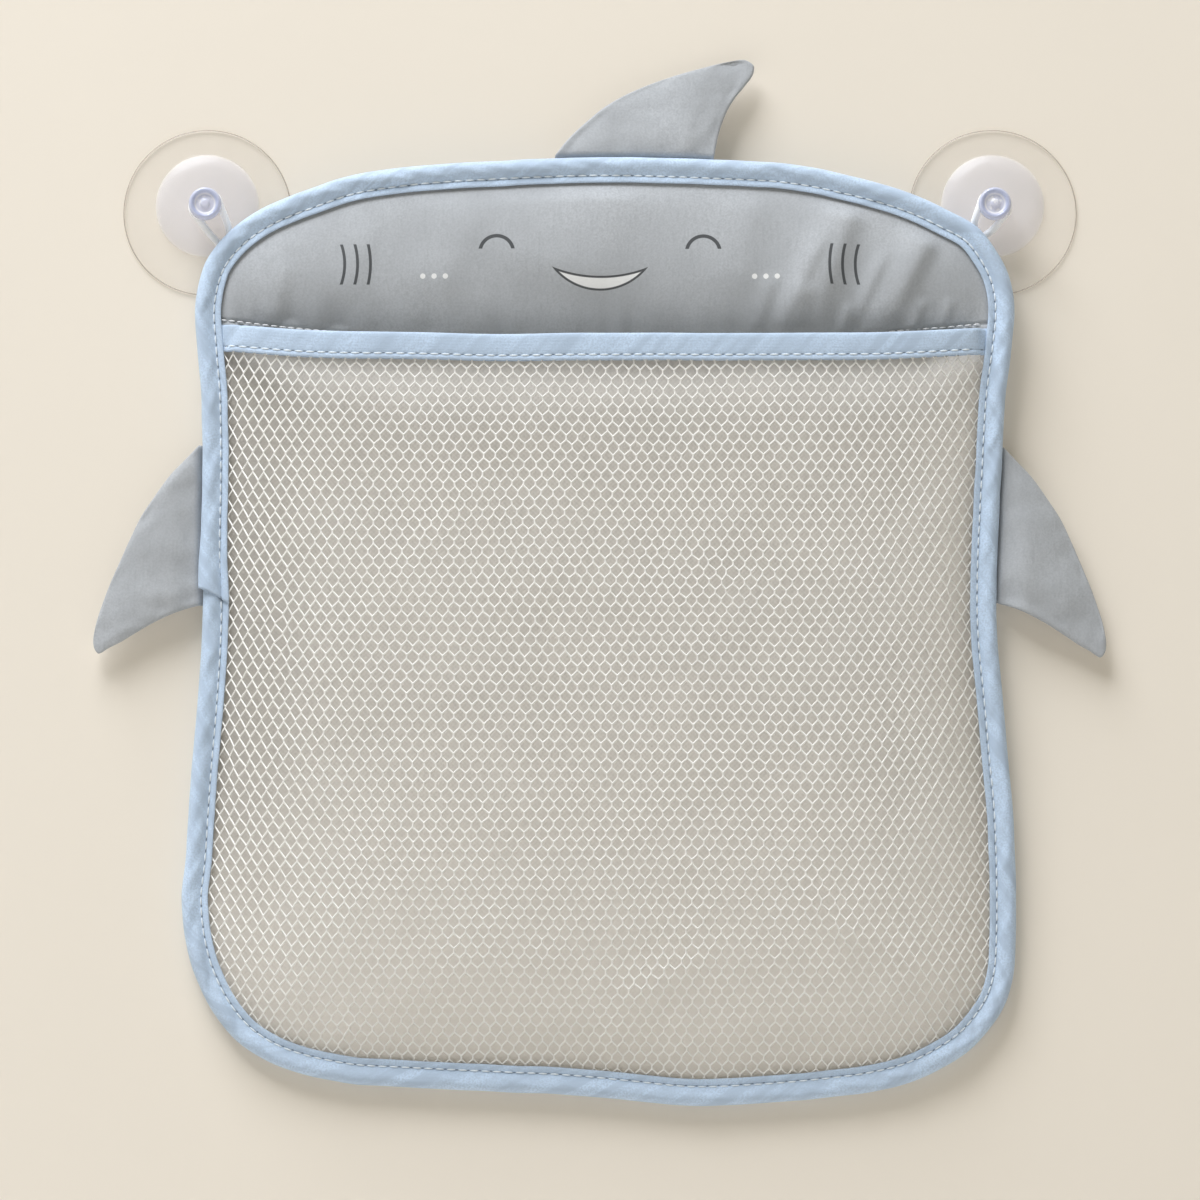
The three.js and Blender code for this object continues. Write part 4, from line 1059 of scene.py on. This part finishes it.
class ORGANIZER_OT_net(bpy.types.Operator):
    """Make the knitted net, cell by cell, hung over the pocket's bulge"""

    bl_idname = "organizer.net"
    bl_label = "Net pocket"

    def execute(self, context):
        net = context.scene.organizer_net
        pitch, row_pitch = net.pitch, net.pitch * ROW_SHARE
        spread = self.spread_table()
        right, left = ({k: rim_side(-k * SIDE_STEP, side) for k in range(10, 166)} for side in (True, False))
        floors = {k: rim_floor(k * FLOOR_STEP) for k in range(-38, 39)}

        # Flat six-sided cells, in as many columns and pairs of rows as cover the pocket
        bm = new_mesh()
        columns = math.ceil(0.154 / pitch)
        rows = math.ceil(0.310 / row_pitch / 2)
        stand = Matrix.Rotation(math.pi / 2, 4, "X")
        bmesh.ops.create_circle(bm, cap_ends=True, segments=6, radius=pitch / math.sqrt(3), matrix=stand)
        bmesh.ops.scale(bm, vec=(1, 1, ROW_SHARE * 2 / math.sqrt(3)), verts=bm.verts[:])
        bmesh.ops.translate(bm, vec=(-columns * pitch, 0, row_pitch), verts=bm.verts[:])
        lay_copies(bm, columns * 2 + 1, Vector((pitch, 0, 0)))
        lay_copies(bm, 2, Vector((pitch / 2, 0, -row_pitch)))
        lay_copies(bm, rows, Vector((0, 0, -2 * row_pitch)))
        bmesh.ops.remove_doubles(bm, verts=bm.verts[:], dist=pitch * 0.05)

        # Each corner is pulled up or down, so that the cells' upright sides are short, and hung over the bulge
        places = {}
        for vert in bm.verts:
            s, t = vert.co.x, -vert.co.z
            phase = (t / row_pitch) % 1.0
            upright = 0.2 - 0.13 * smooth((abs(s) - 0.06) / 0.08)
            shift = (1 / 3 - upright) * (-1 if phase < 0.5 else 1) * row_pitch
            s += 0.0011 * swell(s, t, 0.06, 11) + 0.00036 * swell(s, t, 0.0035, 12)
            t += shift + 0.0011 * swell(s, t, 0.05, 13) + 0.00034 * swell(s, t, 0.0035, 14)
            places[vert] = self.hang(s, t, spread, right, left, floors)
        outside = [f for f in bm.faces
                   if sum(rim_inset(*places[v])[0] for v in f.verts) / len(f.verts) < PANEL_INSET + 0.0008]
        bmesh.ops.delete(bm, geom=outside, context="FACES")
        for vert in bm.verts:
            x, z = kept_inside(*places[vert], NET_INSET)
            loose = smooth((rim_inset(x, z)[0] - OPEN_INSET) / 0.012) * smooth((net_top(x) - z) / 0.01)
            rise = 0.0
            for shape in NET_CREASES:
                ridge = fold(x, z, *shape)
                rise += ridge
                x += ridge * 0.4 * math.sin(x * 900)
            rise += 0.0007 * swell(x, z, 0.03, 21) + 0.0005 * swell(x, z, 0.011, 22)
            depth = net_depth(x, z) if z < net_top(x) else band_depth(x)
            vert.co = to_bag(x, depth + rise * loose, z)
        face_front(bm)
        bmesh.ops.wireframe(
            bm, faces=bm.faces[:], thickness=net.strand, offset=0.0, use_replace=True, use_boundary=True,
            use_even_offset=True, use_crease=False, crease_weight=0.0, use_relative_offset=False, material_offset=0)
        lean(bm)
        piece = settle("net_mesh", bm, "bag", net_finish(net), ("net_pocket",))
        return {"FINISHED"}

    def spread_table(self):
        """The cloth's length in from the opening's edge, at even steps of the way in as seen from the front."""
        runs = [0.0]
        for k in range(700):
            slope = 0.5 * BELLY_DEPTH / EDGE_ROUNDING * math.exp(-(k + 0.5) * SPREAD_STEP / EDGE_ROUNDING)
            runs.append(runs[-1] + SPREAD_STEP * math.hypot(1, slope))
        return runs

    def cloth_run(self, seen, spread):
        """The cloth's length over a way in that is seen from the front."""
        if seen <= 0:
            return seen
        at = min(seen / SPREAD_STEP, len(spread) - 1.001)
        k = int(at)
        return spread[k] + (spread[k + 1] - spread[k]) * (at - k)

    def seen_run(self, run, spread):
        """The way in that is seen from the front for a length of the cloth."""
        if run <= 0:
            return run
        k = min(bisect.bisect_right(spread, run) - 1, len(spread) - 2)
        return SPREAD_STEP * (k + (run - spread[k]) / (spread[k + 1] - spread[k]))

    def looked_up(self, table, at):
        low = clamp(math.floor(at), min(table), max(table) - 1)
        return table[low] + (table[low + 1] - table[low]) * (at - low)

    def hang(self, s, t, spread, right, left, floors):
        """Where a place on the flat net goes, as seen from the front: s across from the middle, t down from its top."""
        z = net_top(0) - t
        sides = right if s > 0 else left
        for _ in range(2):
            room = abs(self.looked_up(sides, clamp(-z / SIDE_STEP, 10, 164))) - OPEN_INSET
            x = math.copysign(room - self.seen_run(self.cloth_run(room, spread) - abs(s), spread), s)
            top = net_top(x)
            if t < 0:
                return x, top - t
            depth = top - self.looked_up(floors, clamp(x / FLOOR_STEP, -37, 37)) - OPEN_INSET
            z = top - depth + self.seen_run(self.cloth_run(depth, spread) - t, spread)
        return x, z


# The front half of the folded band in section, from its lower edge up to its fold: how far forward, and how far up
BAND_SECTION = [
    (0.00115, 0.0), (0.00138, 0.0006), (0.00124, 0.0013), (0.00100, 0.0019), (0.00122, 0.0027),
    (0.00132, 0.0045), (0.00130, 0.0072), (0.00112, 0.0091), (0.00062, 0.0098), (0.0, 0.0100),
]
BAND_PROFILE = [Vector(p) for p in BAND_SECTION] + [Vector((-p[0], p[1])) for p in reversed(BAND_SECTION[:-1])]

# The band's stitching: its share of the way round the section, and its place in it
BAND_STITCH_SHARE = 3 / (len(BAND_PROFILE) - 1)
BAND_STITCH_PLACE = (0.00112, 0.0019)


class ORGANIZER_OT_band(bpy.types.Operator):
    """Make the tape folded over the net's top edge, with its stitching"""

    bl_idname = "organizer.band"
    bl_label = "Mouth band"

    def execute(self, context):
        cloth = context.scene.organizer_cloth
        width = length_of(BAND_PROFILE)
        left, right = BAND_ENDS
        length = right - left
        count = round(length / cloth.stitch_pitch)

        def place(x, across):
            pinch = smooth((min(x - left, right - x) - 0.002) / 0.008)
            sway = 0.0003 * swell(x, 0, 0.03, 31) + 0.0006 * swell(x, across.y, 0.05, 32) * pinch
            crease = -0.0006 * math.exp(-((x + 0.1405 - across.y * 0.7) / 0.0016) ** 2)
            forward = across.x * (0.42 + 0.58 * pinch) + (crease if across.x > 0 else 0)
            return to_bag(x, band_depth(x) + forward + sway * 0.5, mouth_top(x) - BAND_WIDTH + across.y + sway)

        bm = new_mesh()
        lay_grid(bm, 260, 36, lambda u, v: place(left + length * u, spline(BAND_PROFILE, v)), (length, width))
        bm.normal_update()
        looks = 0.0
        for face in bm.faces:
            middle = face.calc_center_median()
            looks += face.normal.y * (1 if middle.y < -band_depth(middle.x) else -1)
        if looks > 0:
            bmesh.ops.reverse_faces(bm, faces=bm.faces[:])
        lean(bm)
        tape = tape_finish("blue band", cloth, width * BAND_STITCH_SHARE, length / count)
        piece = settle("band_tape", bm, "bag", tape, ("mouth_band",), 0.00035)

        thread = thread_finish("band thread", THREAD_BLUE)
        forward, up = BAND_STITCH_PLACE
        for side, name in ((1, "band_stitches"), (-1, "band_stitches_rear")):
            places = []
            for k in range(2, count - 2):
                x = left + length * (k + 0.5) / count
                here, there = (place(at, Vector((side * forward, up))) for at in (x, x + 0.001))
                places.append(stitch(here, there, FORWARD * side))
            stitch_row(name, places, cloth, thread)
        return {"FINISHED"}


class ORGANIZER_OT_fins(bpy.types.Operator):
    """Make the three stuffed fins, each with its flat foot sewn behind the rim and its batting"""

    bl_idname = "organizer.fins"
    bl_label = "Fins"

    def execute(self, context):
        grey, stuffing = fin_finish(context.scene.organizer_cloth), batting_finish()
        for seed, name in enumerate(FINS, 1):
            self.make_fin(name, seed, context.scene.organizer_fins, grey, stuffing)
        return {"FINISHED"}

    def seam(self, name):
        """The seam's own frame: x along it, y through the cloth and z outward, as the fin's hinge gives it."""
        joint = next(j for j in frame["joints"] if j["name"] == f"{name}_fin_flap")
        along = Vector(joint["axis"]).normalized()
        through = Vector((0, math.cos(BAG_LEAN), math.sin(BAG_LEAN)))
        out = along.cross(through).normalized()
        matrix = Matrix((along, through, out)).transposed().to_4x4()
        matrix.translation = Vector(joint["pos_m"])
        return matrix, out

    def make_fin(self, name, seed, fins, grey, stuffing):
        seam, out = self.seam(name)
        rows, base, reach, lift, fall_back = FINS[name]
        curve = [Vector((start, end, height)) for height, start, end in rows]

        def outline(v):
            """Where the fin starts and ends at a share of its reach, rounded off at the tip."""
            row = spline(curve, v)
            low, high, height = row.x * base, row.y * base, row.z * reach
            if v > 1 - FIN_TIP:
                round_off = math.sqrt(max(0.0, 1 - ((v - (1 - FIN_TIP)) / FIN_TIP) ** 2))
                middle = low + (high - low) * 0.5
                low, high = middle + (low - middle) * round_off, middle + (high - middle) * round_off
            return low, high, height

        def body(thinner, inset, columns, rows_up, rows_down):
            """Two sheets that meet at their edges: the cover, or inset from it and thinner, the batting."""
            bm = new_mesh()
            total = rows_up + rows_down

            def place(u, v, side):
                across = 0.5 - 0.5 * math.cos(math.pi * u)
                if v * total < rows_down:
                    low, high, _ = outline(0)
                    height = -FIN_TAB * (1 - v * total / rows_down)
                    share = 0.0
                else:
                    share = inset + (1 - 2 * inset) * (v * total - rows_down) / rows_up
                    share = math.sin(share * math.pi / 2) if inset == 0 else share
                    low, high, height = outline(share)
                    low, high = low + inset * base, high - inset * base
                x = low + (high - low) * across
                up = max(0.0, height)

                # The edge is round, and the middle is full where the batting fills it
                near = min((high - low) * across, (high - low) * (1 - across))
                if share > 0.5:
                    near = min(near, (reach - height) * 2.2)
                if height < 0:
                    near = min(near, height + FIN_TAB)
                turn = math.sqrt(max(0.0, 1 - (1 - min(near / 0.0009, 1)) ** 2))
                full = math.sqrt(max(0.0, 4 * across * (1 - across))) * math.sin(math.pi * share ** 0.6)
                half = fins.edge / 2 * turn + (fins.crown - fins.edge) / 2 * full - thinner * turn

                # Gathers at the foot, soft lumps, and small puckers along the seam
                gather = math.exp(-up / 0.012) * smooth(height / 0.003)
                crumple = (gather * 0.0010 * swell(x, height * 0.35, 0.009, seed)
                           + 0.0011 * swell(x, height, 0.019, seed + 5)
                           + 0.0009 * math.exp(-near / 0.008) * swell(x, height, 0.007, seed + 3)
                           + 0.00012 * swell(x, height, 0.004, seed + 9)) * smooth(near / 0.004)

                # The whole fin sways, bows forward at its foot, falls back to its tip and is lifted at one end
                clear = smooth(height / 0.012)
                bend = 0.0004 * swell(x, height, 0.04, seed + 17) * smooth(height / 0.01)
                fall = max(0.0, 1 - up / reach / 0.92) ** 1.6
                bend -= fins.bow * smooth((height + 0.003) / 0.004) * fall
                bend += fall_back * height * clear
                bend -= (lift * max(x, 0) if lift > 0 else -lift * max(base - x, 0)) * clear
                return seam @ Vector((x, side * max(half, 0.0) + bend + (0 if thinner else side * crumple), height))

            for side in (-1, 1):
                lay_grid(bm, columns, total, lambda u, v, side=side: place(u, v, side), (base, reach))
            close_up(bm)
            return bm

        stands_for = (f"{name}_fin", f"{name}_fin_tab")
        cover = settle(f"{name}_fin_cover", body(0, 0, 56, 60, 12), None, grey, stands_for)
        start = seam.translation - out * 0.0006
        start + out * 0.005
        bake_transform(cover)
        pad = settle(f"{name}_fin_pad", body(0.0010, FIN_PAD_INSET, 24, 24, 0), f"{name}_flap", stuffing,
                     (f"{name}_fin_batting",))


# Half of a cup in section, from the middle of its underside round its lip, over its dome and neck to the middle of
# its knob: how far from its axis, and how far off the wall
CUP_SECTION = [
    (0, 0.0022), (0.006, 0.00205), (0.012, 0.00145), (0.017, 0.0007), (0.0198, 0.0001), (0.0203, 0),
    (0.0309, 0), (0.0313, 0.0001), (0.0315, 0.0004), (0.0314, 0.0007), (0.0310, 0.00085), (0.0285, 0.0010),
    (0.0250, 0.0013), (0.0215, 0.0016), (0.0200, 0.0018), (0.0195, 0.0020), (0.0189, 0.0024),
    (0.0182, 0.0028), (0.0174, 0.0033), (0.0166, 0.00375), (0.0158, 0.0041), (0.0148, 0.0044),
    (0.0132, 0.0047), (0.0110, 0.00495), (0.0088, 0.00515), (0.0068, 0.0054), (0.0055, 0.0058),
    (0.0046, 0.0066), (0.0040, 0.0077),
    (0.0037, 0.0086), (0.0036, 0.0100), (0.0036, 0.0128), (0.0038, 0.0134), (0.0043, 0.0135),
    (0.0052, 0.0136), (0.0058, 0.0140), (0.0061, 0.0147), (0.0061, 0.0168), (0.0060, 0.0176),
    (0.0057, 0.0181), (0.0053, 0.0184), (0.0048, 0.0184), (0.0044, 0.0182), (0.0041, 0.0178),
    (0.0038, 0.0173), (0.0034, 0.0171), (0.0021, 0.0171), (0.0018, 0.0173), (0.0016, 0.0177),
    (0.0013, 0.0180), (0.0008, 0.0181), (0, 0.0181),
]


class ORGANIZER_OT_cups(bpy.types.Operator):
    """Make the two clear suction cups by turning one section about its axis"""

    bl_idname = "organizer.cups"
    bl_label = "Suction cups"

    def execute(self, context):
        for name, side in (("left", -1), ("right", 1)):
            bm = new_mesh()
            centre = Vector((side * CUP_SPACING, 0, 0))
            verts, edges = lay_line(bm, [(centre.x + radius, -height, 0) for radius, height in CUP_SECTION])
            bmesh.ops.spin(bm, geom=verts + edges, cent=centre, axis=(0, 1, 0), dvec=(0, 0, 0),
                           angle=2 * math.pi, steps=128, use_merge=True, use_duplicate=False)
            bmesh.ops.remove_doubles(bm, verts=bm.verts[:], dist=MERGE)
            bmesh.ops.recalc_face_normals(bm, faces=bm.faces[:])

            # The dome sits a little above the middle of the lip, which sags
            for vert in bm.verts:
                out = math.hypot(vert.co.x - centre.x, vert.co.z)
                slip = DOME_RISE * smooth((out - 0.004) / 0.006) if vert.co.y > -0.0058 else 0.0
                vert.co.z += slip - (slip + LIP_SAG) * smooth((out - 0.0200) / 0.0035)
            settle(f"{name}_clear_cup", bm, "cups", vinyl_finish(centre.x), (f"{name}_cup",))
        return {"FINISHED"}


class ORGANIZER_OT_loops(bpy.types.Operator):
    """Make the two elastic loops and the tacks that hold them behind the rim"""

    bl_idname = "organizer.loops"
    bl_label = "Elastic loops"

    def heading(self, side):
        """The way from a cup's middle to its loop's tacks."""
        return Vector((-side * math.cos(LOOP_ANGLE), 0, -math.sin(LOOP_ANGLE)))

    def route(self, side):
        """The cord's middle line: up one strand, round the cup's neck and back, as the frame's loop runs."""
        centre = Vector((side * CUP_SPACING, 0))
        heading = self.heading(side).xz
        across = Vector((-heading.y, heading.x))
        turn = NECK_RADIUS + CLEARANCE + LOOP_CORD_RADIUS
        beside = LOOP_CORD_RADIUS + CLEARANCE + 0.0005
        edge = 0.0
        while rim_inset(*(centre + heading * edge))[0] < 0:
            edge += 0.00002
        behind = RIM_DEPTH - CLEARANCE - LOOP_CORD_RADIUS
        roll, flange = behind - ROLL_RADIUS, behind - 0.0021
        strand = [
            (edge + LOOP_LAP, beside, flange), (edge + ROLL_RADIUS * 2, beside, roll + CLEARANCE),
            (edge + ROLL_RADIUS, beside, roll), (edge, beside + CLEARANCE, roll),
            ((edge + turn) / 2, (beside + turn) / 2, (roll + LOOP_DEPTH) / 2),
        ]
        bends = [(turn * math.cos(math.radians(a)), turn * math.sin(math.radians(a)), LOOP_DEPTH)
                 for a in (65, 100, 140, 180, 220, 260, 295)]
        back = [(along, -aside, depth) for along, aside, depth in reversed(strand)]
        points = []
        for along, aside, depth in strand + bends + back:
            x, z = centre + heading * along + across * aside
            points.append(to_bag(x, depth, z))
        return points

    def execute(self, context):
        cloth = context.scene.organizer_cloth
        white = elastic_finish()
        thread = thread_finish("tack thread", shade(cloth.tape_colour, 0.9))
        for name, side in (("left", -1), ("right", 1)):
            points = self.route(side)
            length = length_of(points)

            def place(u, v):
                here = spline(points, u)
                along = (spline(points, min(1, u + 0.004)) - spline(points, max(0, u - 0.004))).normalized()
                across = along.cross(-FORWARD).normalized()
                up = across.cross(along)
                angle = 2 * math.pi * v
                knit = 1 + 0.03 * math.sin(u * length / 0.0007 * math.pi) * math.sin(angle * 4)
                return here + (across * math.cos(angle) + up * math.sin(angle)) * LOOP_CORD_RADIUS * 0.97 * knit

            bm = new_mesh()
            lay_grid(bm, 150, 16, place, (length, 1))
            close_up(bm)
            lean(bm)
            cord = settle(f"{name}_elastic", bm, None, white, (f"{name}_loop",))
            heading = self.heading(side)
            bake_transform(cord)

            # Seven short tacks across the rear of each end
            places = []
            slant = (heading.cross(-FORWARD) + heading * 0.15).normalized()
            for end in (points[0], points[-1]):
                for k in range(7):
                    spot = end - heading * (0.0008 + 0.0007 * k) - FORWARD * LOOP_CORD_RADIUS * 0.92
                    places.append((spot, slant, -FORWARD))
            stitch_row(f"{name}_tacks", places, cloth, thread, 0.95)
        return {"FINISHED"}


class ORGANIZER_OT_hoop(bpy.types.Operator):
    """Give the spring-wire hoop and its crimped sleeve their steel"""

    bl_idname = "organizer.hoop"
    bl_label = "Wire hoop"

    def execute(self, context):
        for node, rough in (("rim_wire", 0.28), ("wire_ferrule", 0.36)):
            mesh = frame["nodes"][node].data
            mesh.materials.clear()
            mesh.materials.append(steel_finish(f"{node} steel", rough))
        return {"FINISHED"}


class ORGANIZER_OT_stage(bpy.types.Operator):
    """Make the pale wall and floor, the soft lights and the camera"""

    bl_idname = "organizer.stage"
    bl_label = "Stage"

    def execute(self, context):
        stage = context.scene.organizer_stage
        self.make_wall(stage)
        self.light("key", (-0.85, -1.0, 2.2), 1.6, stage.key_power, (0.96, 0.99, 1.05))
        self.light("fill", (-0.9, -1.6, -1.1), 1.5, stage.key_power * 0.010, (0.98, 0.98, 1.0))
        self.light("back", (0.3, 1.8, 0.6), 1.2, stage.key_power * 0.15, (1.0, 1.0, 1.0))
        self.room(context.scene)
        self.camera(context.scene)
        return {"FINISHED"}

    def make_wall(self, stage):
        """One sheet: the wall just behind the cups, a round bend, and the floor."""
        bm = new_mesh()
        behind, top, ground, away, bend, half_width = 0.0002, 1.6, -0.75, 4.0, 0.12, 3.5
        section = [(behind, top), (behind, ground + bend)]
        section += [(behind - bend + bend * math.cos(a), ground + bend - bend * math.sin(a))
                    for a in (math.pi / 16 * k for k in range(1, 8))]
        section += [(behind - bend, ground), (-away, ground)]
        _, edges = lay_line(bm, [(-half_width, y, z) for y, z in section])
        pulled = bmesh.ops.extrude_edge_only(bm, edges=edges)["geom"]
        far = [part for part in pulled if isinstance(part, bmesh.types.BMVert)]
        bmesh.ops.translate(bm, vec=(2 * half_width, 0, 0), verts=far)
        face_front(bm, Vector((0, -1, 1)))
        return settle("pale_wall", bm, None, wall_finish(stage))

    def room(self, scene):
        world = bpy.data.worlds.new("soft room")
        world.use_nodes = True
        background = world.node_tree.nodes["Background"]
        background.inputs["Color"].default_value = (1.0, 0.96, 0.82, 1)
        background.inputs["Strength"].default_value = 0.308
        scene.world = world
        scene.view_settings.view_transform = "Standard"

    def camera(self, scene):
        """A long lens that looks up a little at the bag's middle and takes in a given width there."""
        target = Vector((0, -0.012, -0.1484))
        distance, wide, tilt = 2.6, 0.4452, math.radians(-7)
        lens = bpy.data.cameras.new("photo lens")
        lens.sensor_width = 36
        lens.lens = lens.sensor_width * distance / wide
        lens.clip_start, lens.clip_end = 0.05, 30
        camera = bpy.data.objects.new("photo camera", lens)
        back = Vector((0, -math.cos(tilt), math.sin(tilt)))
        camera.location = target + back * distance
        camera.rotation_euler = (-back).to_track_quat("-Z", "Y").to_euler()
        scene.collection.objects.link(camera)
        scene.camera = camera

    def light(self, name, place, size, power, colour):
        """A soft square lamp that looks at the bag."""
        lamp = bpy.data.lights.new(f"{name} light", "AREA")
        lamp.size = size
        lamp.energy = power
        lamp.color = colour
        lamp_object = bpy.data.objects.new(f"{name} light", lamp)
        lamp_object.location = place
        aim = Vector((0, 0, -0.15)) - Vector(place)
        lamp_object.rotation_euler = aim.to_track_quat("-Z", "Y").to_euler()
        bpy.context.scene.collection.objects.link(lamp_object)


class ORGANIZER_PT_panel(bpy.types.Panel):
    """The organizer's pieces and sizes"""

    bl_idname = "ORGANIZER_PT_panel"
    bl_label = "Bath toy organizer"
    bl_space_type = "VIEW_3D"
    bl_region_type = "UI"
    bl_category = "Organizer"

    def draw(self, context):
        for group in GROUPS:
            box = self.layout.box()
            box.label(text=group.__doc__)
            settings = getattr(context.scene, GROUPS[group])
            for name in group.__annotations__:
                box.prop(settings, name)
        for operator in PIECES:
            self.layout.operator(operator.bl_idname)


GROUPS = {
    OrganizerCloth: "organizer_cloth",
    OrganizerNet: "organizer_net",
    OrganizerFins: "organizer_fins",
    OrganizerStage: "organizer_stage",
}
PIECES = (
    ORGANIZER_OT_stage,
    ORGANIZER_OT_cups,
    ORGANIZER_OT_loops,
    ORGANIZER_OT_hoop,
    ORGANIZER_OT_rim,
    ORGANIZER_OT_panels,
    ORGANIZER_OT_net,
    ORGANIZER_OT_band,
    ORGANIZER_OT_fins,
)


def register():
    for group, name in GROUPS.items():
        bpy.utils.register_class(group)
        setattr(bpy.types.Scene, name, bpy.props.PointerProperty(type=group))
    for operator in PIECES:
        bpy.utils.register_class(operator)
    bpy.utils.register_class(ORGANIZER_PT_panel)


def unregister():
    bpy.utils.unregister_class(ORGANIZER_PT_panel)
    for operator in reversed(PIECES):
        bpy.utils.unregister_class(operator)
    for group, name in GROUPS.items():
        delattr(bpy.types.Scene, name)
        bpy.utils.unregister_class(group)


def main():
    register()
    bpy.ops.organizer.stage()
    bpy.ops.organizer.cups()
    bpy.ops.organizer.loops()
    bpy.ops.organizer.hoop()
    bpy.ops.organizer.rim()
    bpy.ops.organizer.panels()
    bpy.ops.organizer.net()
    bpy.ops.organizer.band()
    bpy.ops.organizer.fins()
    bpy.context.view_layer.update()


if __name__ == "__main__":
    main()
